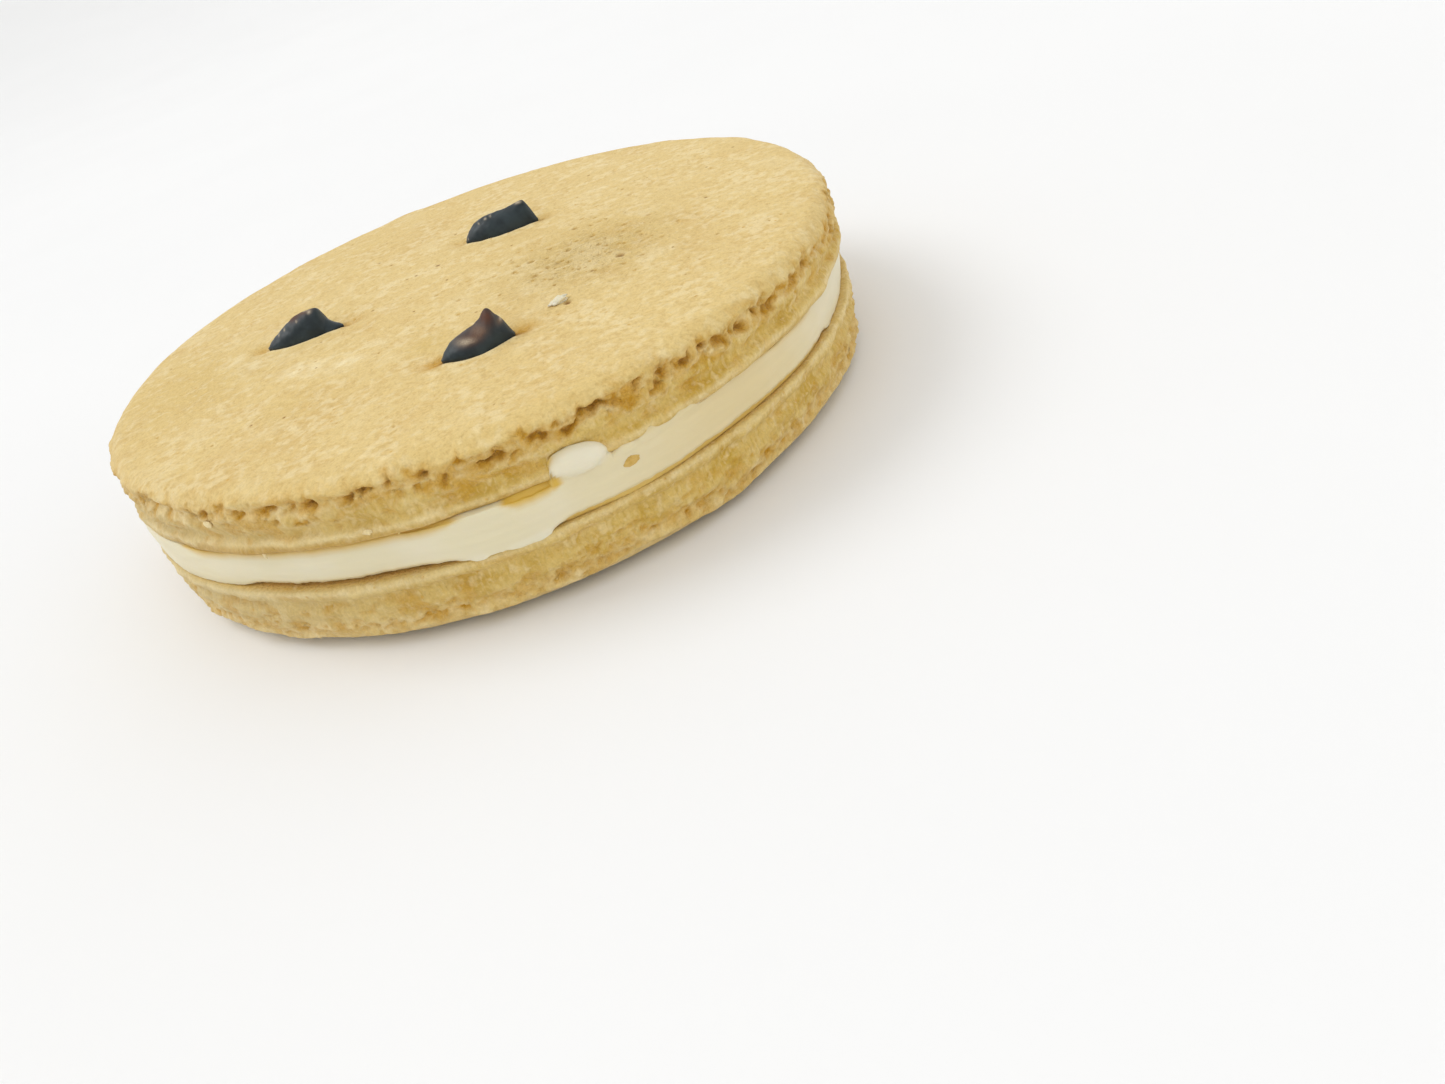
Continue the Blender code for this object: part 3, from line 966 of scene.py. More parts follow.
@dataclass
class ChocolateChip:
    """A chocolate chip lying on its side, sunk in the upper face: a leaning ridge over a shallow keel."""

    node: str
    x: float
    y: float
    turn: float
    length: float
    half_width: float
    peak: float
    ridge: Ridge
    belly: float
    blooms_and_glints: tuple[BloomAndGlint, ...]
    seed: float
    sunk: float = 1.1 * MM
    lean: float = 0.25 * MM
    lean_gain: float = 2.0
    end_depth: float = 0.1 * MM
    end_slope: float = 0.5
    fullness: float = 0.6
    rounding: float = 0.8
    crispness: float = 0.35
    stations: int = 96
    sides: int = 64
    nick: float = 0.03 * MM
    nick_lump: float = 0.5 * MM
    nick_shift: float = 7.0
    # How strongly the dimples are coloured golden and painted with shadow close to the chip.
    dimple_strength: float = 0.55
    dimple: Pair = (1.3 * MM, 0.90 * MM)
    dimple_shift: float = 0.35

    def inwards(self, x: float, y: float) -> Pair:
        """Reads a place on the face along and across the chip.

        Args:
            x: the place's X.
            y: the place's Y.

        Returns:
            How far it lies along the chip, and how far behind it.
        """
        turn = math.radians(self.turn)
        east = x - self.x
        north = y - self.y
        along = east * math.cos(turn) + north * math.sin(turn)
        return along, north * math.cos(turn) - east * math.sin(turn)

    def body(self, along: float) -> float:
        """How full the chip is at a share of its length: 1 at its belly, 0 at its ends."""
        return max(math.sin(math.pi * along ** (math.log(0.5) / math.log(self.belly))), 0.0)

    def foot(self, along: float) -> float:
        """Half the width of the chip at a share of its length."""
        return self.half_width * self.body(along) ** self.fullness

    def gap(self, x: float, y: float) -> float:
        """Reads how far a place on the face is from the chip's foot.

        Args:
            x: the place's X.
            y: the place's Y.

        Returns:
            The distance, less than 0 under the chip.
        """
        along, across = self.inwards(x, y)
        share = along / self.length + 0.5
        if 0.0 < share < 1.0:
            slope = math.sqrt(self.body(share))
            return (abs(across) - self.foot(share)) * between(self.end_slope, 1.0, slope)
        return math.hypot(abs(along) - self.length / 2.0, across)

    def dent(self, x: float, y: float) -> float:
        """Reads the dimples at the chip's ends.

        Args:
            x: the X of a place on the face.
            y: its Y.

        Returns:
            How deep it lies in one of them, 1 in its middle.
        """
        long, wide = self.dimple
        along, across = self.inwards(x, y)
        past = abs(along) - self.length / 2.0 - self.dimple_shift * long
        behind = across - self.dimple_shift * wide
        return hill(math.hypot(past / long, behind / wide))

    def spot(self, along: float, turn: float) -> Spot:
        """A spot of the chip's skin.

        Args:
            along: share of the length.
            turn: angle round the cross-section, 0 at the back, half a turn in front.

        Returns:
            The spot, with brown bloom and painted glints written on it.
        """
        body = self.body(along)
        lift = math.sin(turn)
        top = self.peak * height_on(self.ridge.value, along)
        keel = self.sunk * math.sqrt(body)
        height = top * lift**self.rounding if lift > 0.0 else keel * lift - self.end_depth * (1.0 - body)
        wide = math.cos(turn)
        if lift > 0.0:
            wide *= abs(wide) ** (self.crispness * lift)
        lean = self.lean * max(lift, 0.0) * min(top / self.peak * self.lean_gain, 1.0)
        place = Vector((self.length * (along - 0.5), self.foot(along) * wide + lean, height))
        place.y += self.nick * body * lumps(place, self.nick_lump, self.seed)
        place.z += self.nick * body * lumps(place, self.nick_lump, self.seed + self.nick_shift)
        up = max(height, 0.0) / self.peak
        brown = sum(bloom.brown * bloom.share(along, up) for bloom in self.blooms_and_glints)
        # The pale share is painted glints and sheen.
        pale = sum(bloom.pale * bloom.share(along, up) for bloom in self.blooms_and_glints)
        return Spot(place, brown=min(brown, 1.0), pale=min(pale, 1.0))

    def build(self, finish: bpy.types.Material, face: Callable[[float, float], float]) -> None:
        """Builds the chip and sets it on the face.

        Args:
            finish: its material.
            face: gives the height of the biscuit's face at a place.
        """
        skin = Skin()
        end = Vector((self.length / 2.0, 0.0, -self.end_depth))
        rings = [skin.add([Spot(Vector((-end.x, 0.0, end.z)))])]
        for station in range(1, self.stations):
            along = 0.5 - 0.5 * math.cos(math.pi * station / self.stations)
            rings.append(skin.add([self.spot(along, turn) for turn in ring_angles(self.sides)]))
        rings.append(skin.add([Spot(end)]))
        skin.zip_all(rings)
        lift = Matrix.Translation((self.x, self.y, UPPER_BASE + face(self.x, self.y)))
        turned = lift @ Matrix.Rotation(math.radians(self.turn), 4, "Z")
        settle(skin.make(self.node + "_chocolate", finish, turned), Slot.CHOCOLATE, self.node)


# Each chip's pale patches are painted glints and sheen; its brown patches are bloom.
CHIPS = (
    ChocolateChip(
        node="chip_left",
        x=-15.5 * MM,
        y=0.8 * MM,
        turn=-16.0,
        length=7.6 * MM,
        half_width=1.45 * MM,
        peak=2.2 * MM,
        ridge=Ridge.HOOKED,
        belly=0.45,
        blooms_and_glints=(
            BloomAndGlint(0.45, 0.88, 0.10, 0.11, brown=1.0),
            BloomAndGlint(0.60, 0.99, 0.12, 0.08, brown=0.9, pale=0.06),
            BloomAndGlint(0.695, 0.94, 0.024, 0.045, pale=1.0),
            BloomAndGlint(0.63, 1.00, 0.050, 0.022, pale=0.8),
            BloomAndGlint(0.52, 0.78, 0.012, 0.03, pale=1.0),
            BloomAndGlint(0.32, 0.58, 0.014, 0.035, pale=0.9),
            BloomAndGlint(0.22, 0.42, 0.014, 0.035, pale=0.9),
        ),
        seed=3.1,
    ),
    ChocolateChip(
        node="chip_front",
        x=-1.2 * MM,
        y=-19.4 * MM,
        turn=-4.5,
        length=6.2 * MM,
        half_width=1.75 * MM,
        peak=2.55 * MM,
        ridge=Ridge.PEAKED,
        belly=0.50,
        blooms_and_glints=(
            BloomAndGlint(0.40, 0.40, 0.11, 0.06, pale=0.75),
            BloomAndGlint(0.45, 0.42, 0.17, 0.13, brown=0.9),
            BloomAndGlint(0.60, 0.56, 0.10, 0.12, brown=1.0, pale=0.18),
            BloomAndGlint(0.74, 0.84, 0.12, 0.22, brown=1.0),
            BloomAndGlint(0.90, 0.55, 0.05, 0.08, brown=0.8, pale=0.25),
            BloomAndGlint(0.905, 0.56, 0.015, 0.03, pale=1.0),
        ),
        seed=5.7,
        dimple_strength=0.95,
    ),
    ChocolateChip(
        node="chip_back",
        x=5.55 * MM,
        y=9.2 * MM,
        turn=-15.0,
        length=7.8 * MM,
        half_width=1.70 * MM,
        peak=2.15 * MM,
        ridge=Ridge.BLUNT,
        belly=0.40,
        blooms_and_glints=(
            BloomAndGlint(0.83, 0.96, 0.045, 0.04, pale=1.0),
            BloomAndGlint(0.36, 0.76, 0.016, 0.03, pale=1.0),
            BloomAndGlint(0.26, 0.66, 0.010, 0.03, pale=0.8),
            BloomAndGlint(0.43, 0.80, 0.012, 0.03, pale=0.7),
            BloomAndGlint(0.06, 0.16, 0.008, 0.04, pale=0.7),
        ),
        seed=9.4,
        dimple_strength=0.40,
    ),
)


@dataclass(frozen=True)
class Seat:
    """How the crust sits round a chip: pale rim in front, golden dimple at each end with painted shadow close
    to the chip, and painted contact shadow with some browning at its foot.
    """

    reach: float = 4.5 * MM
    front: Rise = Rise(-1.2 * MM, 0.6 * MM)
    rim_behind: float = 0.25
    rim_away: float = 0.30 * MM
    rim_width: float = 0.28 * MM
    rim_height: float = 0.11 * MM
    rim_pale: float = 0.4
    dimple_depth: float = 0.30 * MM
    dimple_torn: float = 1.15
    dimple_shadow: float = 0.90
    dimple_close: float = 0.40 * MM
    sag: float = 0.06 * MM
    sag_width: float = 1.6 * MM
    foot_shadow_and_brown: float = 0.35
    foot_width: float = 0.09 * MM

    def read(self, chip: ChocolateChip, x: float, y: float) -> Torn:
        """Reads the seat of one chip.

        Args:
            chip: the chip.
            x: the X of a place on the face.
            y: its Y.

        Returns:
            How the crust lies and looks there.
        """
        gap = chip.gap(x, y)
        if gap > self.reach:
            return Torn()
        outside = max(gap, 0.0)
        dent = chip.dent(x, y)
        front = between(self.rim_behind, 1.0, self.front.at(-chip.inwards(x, y)[1]))
        rim = hill((gap - self.rim_away) / self.rim_width) * front * (1.0 - dent)
        # Painted shadow hugging the chip inside its dimples.
        hug_shade = self.dimple_shadow * chip.dimple_strength * hill(outside / self.dimple_close) * dent
        return Torn(
            inwards=self.dimple_depth * dent + self.sag * hill(gap / self.sag_width),
            brim=self.rim_height * rim,
            torn=min(self.dimple_torn * chip.dimple_strength * dent, 1.0),
            pale=self.rim_pale * rim,
            # Painted contact shadow along the foot, with some browning.
            brown=max(hug_shade, self.foot_shadow_and_brown * hill(outside / self.foot_width)),
        )


def square(x: float, y: float) -> tuple[int, int]:
    """The square millimetre of a face that a place lies in."""
    return math.floor(x / MM), math.floor(y / MM)


@dataclass
class Biscuit:
    """A round baked biscuit: a flat base, a wall with a lip, torn crust under the rim and a baked face."""

    node: str
    slot: Slot
    thickness: float
    flat_radius: float
    seed: float
    place: Matrix
    crag: float
    free_tears: Pair
    tear_scale: float
    tears: tuple[Tear, ...] = ()
    pits: tuple[Pit, ...] = ()
    chips: tuple[ChocolateChip, ...] = ()
    porous: Patch | None = None
    # Darker places of the face: some browning, some painted shade.
    toast_and_shade: tuple[Patch, ...] = ()
    floured: tuple[Patch, ...] = ()
    # Angles where the wall is painted greyer and duller, as shade.
    grey_shade: tuple[Swell, ...] = ()
    # The lip's painted highlight line: its height above the base and its half width.
    lip_highlight: Pair = (0.30 * MM, 0.30 * MM)
    lip_rises: tuple[Swell, ...] = ()
    lip_shade: float = 0.0

    # The plan of the wall, the rounded rim and the flat base, whose rings have a radius, a count, and how
    # torn and pale they are. The torn and pale shares of the outer base rings are painted shade: the amber of
    # the gap under the cream, lightened further in where the shade is deepest.
    segments: int = 1200
    rim_fall: float = 0.5 * MM
    shoulder_radius: float = 1.6 * MM
    shoulder_inset: float = 0.45 * MM
    shoulder_rows: int = 11
    shoulder_least: float = 1.0 * MM
    crust_swell: float = 0.22 * MM
    band_rows: int = 17
    wall_rows: tuple[int, ...] = (3, 4, 4, 5)
    wall_line: tuple[Pair, ...] = (
        (0.16 * MM, 0.0),
        (0.0, 0.26 * MM),
        (0.05 * MM, 0.85 * MM),
        (0.45 * MM, 1.35 * MM),
        (0.12 * MM, 2.20 * MM),
    )
    base_rings: tuple[tuple[float, int, float, float], ...] = (
        (34.35 * MM, 1200, 0.30, 0.1),
        (34.00 * MM, 900, 0.58, 0.2),
        (33.60 * MM, 600, 0.65, 0.4),
        (33.00 * MM, 480, 0.50, 0.6),
        (31.00 * MM, 200, 0.50, 0.6),
        (24.00 * MM, 90, 1.0, 0.0),
        (12.00 * MM, 36, 1.0, 0.0),
    )

    # The torn crust under the rim, and the tears in it.
    crag_below_rim: float = 1.65 * MM
    crag_half_height: float = 0.50 * MM
    crag_brink: float = 1.25
    crag_inset: float = 0.23 * MM
    crag_wander: float = 0.35 * MM
    crag_wander_lumps: float = 6.0
    crag_cell: float = 2.4 * MM
    crag_open: Rise = Rise(-0.25, 0.40)
    crag_kept: float = 0.26
    groove_least: float = 0.25
    groove_torn: float = 0.30
    tear_look: TearLook = TearLook()
    tear_least: float = 0.45
    tear_rises: Pair = (-0.35 * MM, 0.45 * MM)
    tear_lengths: tuple[float, ...] = (0.35 * MM, 0.45 * MM, 0.55 * MM, 0.7 * MM, 0.85 * MM, 1.25 * MM)
    tear_heights: Pair = (0.20 * MM, 0.36 * MM)
    tear_depths: Pair = (0.7, 1.1)
    tear_widening: Pair = (0.8, 1.1)
    tear_tilts: Pair = (-20.0, 25.0)
    tear_spacing: Pair = (2.6, 4.2)
    tear_reach: float = 1.7
    tear_bend: float = 0.4 * MM
    tear_bends: Layers = (Layer(0.36 * MM, 0.9 * MM, 8.0), Layer(0.18 * MM, 0.4 * MM, 10.0))
    tear_lifts: Layers = (Layer(0.26 * MM, 0.8 * MM, 9.0), Layer(0.15 * MM, 0.4 * MM, 11.0))
    small_tears: int = 420
    small_rises: Pair = (-0.35 * MM, 0.7 * MM)
    small_highest: float = 0.30 * MM
    small_lowest: float = 0.7 * MM
    small_sizes: Pair = (0.10 * MM, 0.26 * MM)
    small_depths: Pair = (0.12 * MM, 0.34 * MM)
    small_stretch: Pair = (1.0, 2.0)

    # The open crumb of the torn crust, and the soft golden hollows of the wall.
    pockets: Layers = (
        Layer(0.60, 1.3 * MM, 17.0),
        Layer(0.40, 0.62 * MM, 18.0),
        Layer(0.25, 0.32 * MM, 20.0),
    )
    pocket_edge: Rise = Rise(0.02, 0.50)
    pocket_depth: float = 0.30 * MM
    pocket_drop: float = 0.1 * MM
    pocket_reach: float = 1.0 * MM
    pocket_end: float = 2.0
    pocket_least: float = 0.55
    pocket_torn: float = 0.95
    ridge_edge: Rise = Rise(0.05, 0.50)
    ridge_pale: float = 0.45
    hollows: Layers = (Layer(1.0, 2.1 * MM, 14.0), Layer(0.5, 0.8 * MM, 15.0))
    hollow_edge: Rise = Rise(0.05, 0.85)
    hollow_flatness: float = 1.9
    hollow_drop: float = 1.2 * MM
    hollow_reach: float = 1.1 * MM
    hollow_least: float = 0.45
    hollow_depth: float = 0.14 * MM
    hollow_torn: float = 0.58

    # The wall's own unevenness, and its lip with a painted highlight line and painted shade below it.
    wall_roughness: float = 0.17 * MM
    wall_lump: float = 2.9 * MM
    wall_crumbs: Layers = (Layer(0.085 * MM, 1.0 * MM), Layer(0.045 * MM, 0.5 * MM))
    fleck: float = 0.022 * MM
    fleck_size: Pair = (0.35 * MM, 2.0 * MM)
    foot: Rise = Rise(0.0, 0.5 * MM)
    foot_roughness: float = 0.2
    rim_roughness: float = 0.15
    rim_over: Rise = Rise(0.0, 0.42)
    rim_pale: Rise = Rise(0.15, 0.8, 0.2)
    band_side: float = 0.45
    band_edge: Rise = Rise(-0.85 * MM, -0.05 * MM)
    band_ragged: Layers = (Layer(0.35 * MM, 0.7 * MM, 19.0),)
    lip_even: float = 0.75
    lip_uneven: float = 0.35
    lip_lumps: float = 22.0
    highlight_pale: float = 0.45
    shade_even: float = 0.25
    shade_for_rise: float = 2.2 / MM
    shade_start: float = 0.12 * MM
    shade_start_lift: float = 0.5
    shade_end: float = 0.42 * MM
    shade_torn: float = 0.42
    shade_brown: float = 0.17
    shade_grey: float = 0.35

    # The baked face: its net, wrinkles, browning, flour and pits, and the duller porous patch, which is
    # partly painted shadow.
    face_step: float = 0.37 * MM
    face_relief: float = 0.12 * MM
    face_lump: float = 7.0 * MM
    wrinkle_height: float = 0.075 * MM
    bends: tuple[Layer, Layer] = (Layer(0.7 * MM, 2.2 * MM, 1.0), Layer(0.7 * MM, 2.2 * MM, 2.0))
    fine: Layer = Layer(0.32, 1.35 * MM, 3.0, 1.15 * MM)
    finer: Layer = Layer(0.30, 0.80 * MM, 4.0, 0.72 * MM)
    broad: Layer = Layer(0.50, 4.2 * MM, 5.0, 3.6 * MM)
    strength: Layer = Layer(0.5, 8.0 * MM, 6.0)
    strength_even: float = 0.65
    calm_rim: Rise = Rise(20.0 * MM, 30.0 * MM, 0.45)
    porous_wrinkles: float = 1.9
    porous_torn: float = 0.08
    porous_crinkled: float = 0.8
    wrinkle_torn: Rise = Rise(0.1, 0.8, 0.12)
    wrinkle_pale: Rise = Rise(0.15, 0.8, 0.25)
    browned_rim: Rise = Rise(-3.5 * MM, 0.8 * MM, 0.10)
    browned_bend: float = 1.2 * MM
    flour_breaks: Layer = Layer(1.0, 0.9 * MM, 7.0, 0.7 * MM)
    flour_edge: Rise = Rise(-0.35, 0.35)
    flour_least: float = 0.35
    seat: Seat = Seat()
    pit_area: float = 0.97
    pit_wall: Rise = Rise(0.3, 1.25)
    pit_stain: Rise = Rise(0.5, 1.15)
    pit_torn: float = 0.6
    pit_reach: float = 2.0
    pit_chip_gap: float = 0.6 * MM
    loose_pits: int = 70
    loose_sizes: Pair = (0.10 * MM, 0.20 * MM)
    loose_depth: float = 0.4
    loose_browns: tuple[float, ...] = (0.1, 0.2, 0.3, 0.7)
    porous_pits: int = 90
    porous_gather: float = 1.5
    porous_sizes: Pair = (0.10 * MM, 0.28 * MM)
    porous_depth: float = 0.6
    porous_browns: Pair = (0.0, 0.25)
    porous_stretch: Pair = (0.7, 1.4)
    net_jitter: Pair = (-0.05 * MM, 0.05 * MM)
    net_rim_gap: float = 0.16 * MM
    net_chip_gap: float = 1.25 * MM
    net_pit_gap: float = 1.6
    net_pit_rings: tuple[tuple[float, int], ...] = ((0.45, 6), (0.85, 9), (1.3, 12))
    seat_step: float = 0.125 * MM
    seat_inner: float = -0.30 * MM
    seat_outer: float = 1.15 * MM
    seat_reach: float = 1.3 * MM

    # Worked out at the start.
    bins: list[list[Tear]] = field(default_factory=list)
    pit_squares: dict[tuple[int, int], list[Pit]] = field(default_factory=dict)

    def __post_init__(self) -> None:
        """Works out the rim and scatters the tears and pits that aren't listed."""
        self.rim_height = self.thickness - self.rim_fall
        self.face_radius = BISCUIT_RADIUS - self.shoulder_inset - self.shoulder_radius
        self.chance = random.Random(self.seed)
        self.sort_tears([*self.tears, *self.scatter_tears(), *self.scatter_small_tears()])
        self.pits = (*self.pits, *self.scatter_pits())
        self.sort_pits()

    def lip_radius(self, angle: float) -> float:
        """Radius of the lip, which isn't quite round."""
        return BISCUIT_RADIUS + waver(angle, self.seed, ROUND_LUMPS, OUT_OF_ROUND)

    def crag_middle(self, angle: float) -> float:
        """Height of the torn crust's middle at an angle."""
        wander = waver(angle, self.seed + CRAG_LINE_SEED, self.crag_wander_lumps, self.crag_wander)
        return self.rim_height - self.crag_below_rim + wander

    def crag_share(self, angle: float) -> float:
        """How much the crust is torn at an angle, from 0 to 1."""
        tear = waver(angle, self.seed + CRAG_TEAR_SEED, BISCUIT_RADIUS / self.crag_cell, 1.0)
        return self.crag_open.at(tear)

    def scatter_tears(self) -> list[Tear]:
        """Scatters tears round the part of the wall where none is listed.

        Returns:
            The tears.
        """
        made = []
        angle, end = self.free_tears
        while angle < end:
            torn = between(self.tear_least, 1.0, self.crag_share(math.radians(angle)))
            height = self.crag_middle(math.radians(angle)) + self.chance.uniform(*self.tear_rises)
            long = self.chance.choice(self.tear_lengths) * self.tear_scale
            long *= between(*self.tear_widening, torn)
            high = self.chance.uniform(*self.tear_heights) * self.tear_scale
            depth = self.chance.uniform(*self.tear_depths) * torn * self.crag
            made.append(Tear(angle, height, long, high, self.chance.uniform(*self.tear_tilts), depth))
            angle += self.chance.uniform(*self.tear_spacing)
        return made

    def scatter_small_tears(self) -> list[Tear]:
        """Scatters small holes all along the torn crust.

        Returns:
            The holes.
        """
        made = []
        for _ in range(self.small_tears):
            angle = self.chance.uniform(0.0, FULL_CIRCLE)
            rise = min(self.chance.gauss(*self.small_rises), self.small_highest)
            height = max(self.crag_middle(math.radians(angle)) + rise, self.small_lowest)
            size = self.chance.uniform(*self.small_sizes)
            depth = self.chance.uniform(*self.small_depths)
            long = size * self.chance.uniform(*self.small_stretch)
            made.append(Tear(angle, height, long, size, 0.0, depth))
        return made

    def sort_tears(self, tears: Sequence[Tear]) -> None:
        """Sorts the tears by the columns of the wall that they reach.

        Args:
            tears: the tears.
        """
        self.bins = [[] for _ in range(self.segments)]
        for tear in tears:
            reach = (tear.half_length * self.tear_reach + self.tear_bend) / BISCUIT_RADIUS
            middle = math.radians(tear.angle)
            first = math.floor((middle - reach) / FULL_TURN * self.segments)
            last = math.ceil((middle + reach) / FULL_TURN * self.segments)
            for column in range(first, last + 1):
                self.bins[column % self.segments].append(tear)

    def scatter_pits(self) -> list[Pit]:
        """Scatters small pits all over the face, closer together in the porous patch.

        Returns:
            The pits, without those that lie too close to a chip.
        """
        made = []
        edge = self.pit_area * self.face_radius
        for _ in range(self.loose_pits):
            radius = edge * math.sqrt(self.chance.random())
            turn = self.chance.uniform(0.0, FULL_TURN)
            size = self.chance.uniform(*self.loose_sizes)
            brown = self.chance.choice(self.loose_browns)
            x = radius * math.cos(turn)
            made.append(Pit(x, radius * math.sin(turn), size, self.loose_depth * size, brown))
        if self.porous:
            spread = self.porous.spread / self.porous_gather
            for _ in range(self.porous_pits):
                size = self.chance.uniform(*self.porous_sizes)
                place = (self.chance.gauss(self.porous.x, spread), self.chance.gauss(self.porous.y, spread))
                brown = self.chance.uniform(*self.porous_browns)
                stretch = self.chance.uniform(*self.porous_stretch)
                if math.hypot(*place) < edge:
                    made.append(Pit(*place, size, self.porous_depth * size, brown, stretch))
        return [pit for pit in made if all(chip.gap(pit.x, pit.y) > self.pit_chip_gap for chip in self.chips)]

    def sort_pits(self) -> None:
        """Sorts the pits by the square millimetres of the face that they reach."""
        for pit in self.pits:
            reach = self.pit_reach * pit.radius * pit.stretch
            low = square(pit.x - reach, pit.y - reach)
            high = square(pit.x + reach, pit.y + reach)
            for i in range(low[0], high[0] + 1):
                for j in range(low[1], high[1] + 1):
                    self.pit_squares.setdefault((i, j), []).append(pit)

    def face_height(self, x: float, y: float) -> float:
        """Reads the baked face: highest in the middle, lower at the rim, gently uneven.

        Args:
            x: the X of a place.
            y: its Y.

        Returns:
            The height there above the biscuit's base.
        """
        reach = math.hypot(x, y) - self.flat_radius
        share = min(max(reach / (self.face_radius - self.flat_radius), 0.0), 1.0)
        relief = self.face_relief * noise.noise((x / self.face_lump, y / self.face_lump, self.seed))
        return self.thickness + (relief - self.rim_fall) * share * share

    def porous_share(self, x: float, y: float) -> float:
        """How far a place of the face lies in the porous patch."""
        return self.porous.at(x, y) if self.porous else 0.0

    def wrinkles(self, x: float, y: float) -> float:
        """Reads the fine unevenness of a baked face.

        Args:
            x: the X of a place.
            y: its Y.

        Returns:
            The unevenness, between about -1 and 1.
        """
        bent = [way + layer.flat(x, y, self.seed) for way, layer in zip((x, y), self.bends)]
        strength = self.strength_even + self.strength.flat(x, y, self.seed)
        strength *= 1.0 - self.calm_rim.at(math.hypot(x, y))
        fine = self.fine.flat(*bent, self.seed) + self.finer.flat(*bent, self.seed)
        wrinkle = strength * fine + self.broad.flat(x, y, self.seed)
        return wrinkle * (1.0 + self.porous_wrinkles * self.porous_share(x, y))

    def baked_side(self, x: float, y: float, wrinkle: float) -> float:
        """How much a face takes the side's colour: browned near its rim, and in darker places, some of them
        painted shade.
        """
        reach = math.hypot(x, y) + self.browned_bend * wrinkle - self.face_radius
        return max(self.browned_rim.at(reach), *[patch.at(x, y) for patch in self.toast_and_shade], 0.0)

    def flour(self, x: float, y: float) -> float:
        """How much flour dusts a face, in broken smudges."""
        broken = between(self.flour_least, 1.0, self.flour_edge.at(self.flour_breaks.flat(x, y, self.seed)))
        return broken * max((patch.at(x, y) for patch in self.floured), default=0.0)

    def face_spot(self, x: float, y: float) -> Spot:
        """A spot of the baked face, with its wrinkles, pits and the seats of the chips.

        Args:
            x: its X.
            y: its Y.

        Returns:
            The spot.
        """
        wrinkle = self.wrinkles(x, y)
        porous = self.porous_share(x, y)
        relief = self.wrinkle_height * wrinkle
        torn = self.porous_torn * porous + self.wrinkle_torn.at(-wrinkle)
        pale = max(self.wrinkle_pale.at(wrinkle), self.flour(x, y))
        brown = 0.0
        for pit in self.pit_squares.get(square(x, y), ()):
            away = pit.away(x, y)
            deep = self.pit_wall.left(away)
            relief -= pit.depth * deep
            brown = max(brown, pit.brown * self.pit_stain.left(away))
            torn = max(torn, self.pit_torn * deep)
        for chip in self.chips:
            read = self.seat.read(chip, x, y)
            relief += read.brim - read.inwards
            torn = max(torn, read.torn)
            pale = max(pale, read.pale)
            brown = max(brown, read.brown)
        height = self.face_height(x, y) + relief
        if self.flat_radius > 0.0:
            height = min(height, self.thickness)
        side = self.baked_side(x, y, wrinkle)
        return Spot(Vector((x, y, height)), side, torn, pale, brown, crinkled=self.porous_crinkled * porous)

    def wall_relief(self, place: Vector) -> float:
        """How far the wall stands out or in with its crumbs and short upright flecks."""
        wide, high = self.fleck_size
        fleck = self.fleck * rough(place.x / wide, place.y / wide, place.z / high + self.seed)
        return layered(place, self.wall_crumbs, self.seed) + fleck

    def soft_hollow(self, angle: float, height: float) -> float:
        """Reads the soft golden hollows of the wall.

        Args:
            angle: the angle of a place.
            height: its height above the base.

        Returns:
            How deep it lies in one, from 0 to 1.
        """
        hollow = layered(polar(BISCUIT_RADIUS, angle, self.hollow_flatness * height), self.hollows, self.seed)
        near = hill((height - self.crag_middle(angle) + self.hollow_drop) / self.hollow_reach)
        return self.hollow_edge.at(hollow) * between(self.hollow_least, 1.0, near)

    def broken_crumb(self, angle: float, height: float) -> Pair:
        """Reads the open crumb of the torn crust, small pockets with thin ridges between them.

        Args:
            angle: the angle of a place on the wall.
            height: its height above the base.

        Returns:
            How deep it lies in a pocket and how high it stands on a ridge, both from 0 to 1.
        """
        away = abs(height - self.crag_middle(angle) + self.pocket_drop) / self.pocket_reach
        if away > self.pocket_end:
            return 0.0, 0.0
        crumble = layered(polar(BISCUIT_RADIUS, angle, height), self.pockets, self.seed)
        share = hill(away) * between(self.pocket_least, 1.0, self.crag_share(angle))
        return share * self.pocket_edge.at(crumble), share * self.ridge_edge.at(-crumble)

    def torn_crust(self, column: int, angle: float, height: float) -> Torn:
        """Reads the tears at a place of the wall.

        Args:
            column: the wall's column that the place is in.
            angle: its angle.
            height: its height above the base.

        Returns:
            How the crust is torn there.
        """
        read = Torn()
        place = polar(BISCUIT_RADIUS, angle, height)
        bend = layered(place, self.tear_bends, self.seed)
        lift = layered(place, self.tear_lifts, self.seed)
        for tear in self.bins[column]:
            along = math.remainder(angle - math.radians(tear.angle), FULL_TURN) * BISCUIT_RADIUS
            up = height - tear.height
            ragged = min(tear.half_height / self.tear_look.ragged_size, 1.0)
            away = tear.away(along + bend * ragged, up + lift * ragged)
            if away <= self.tear_look.reach:
                read = Torn(*map(max, read, self.tear_look.read(tear, up, away)))
        return read

    def lip(self, angle: float, height: float) -> Pair:
        """Reads the lip's painted highlight line, which lies higher in places, with more painted shade below
        it there.

        Args:
            angle: the angle of a place on the wall.
            height: its height above the base.

        Returns:
            How far it lies on the painted highlight line, and how far in the painted shade below the line.
        """
        rise = strongest(self.lip_rises, math.degrees(angle))
        light_height, light_width = self.lip_highlight
        light = hill((height - light_height - rise) / light_width)
        light *= self.lip_even + self.lip_uneven * rough(angle * self.lip_lumps, 0.0, self.seed)
        fade = Rise(self.shade_start + self.shade_start_lift * rise, self.shade_end + rise)
        shade = self.lip_shade * (self.shade_even + self.shade_for_rise * rise) * fade.left(height)
        return max(light, 0.0), shade

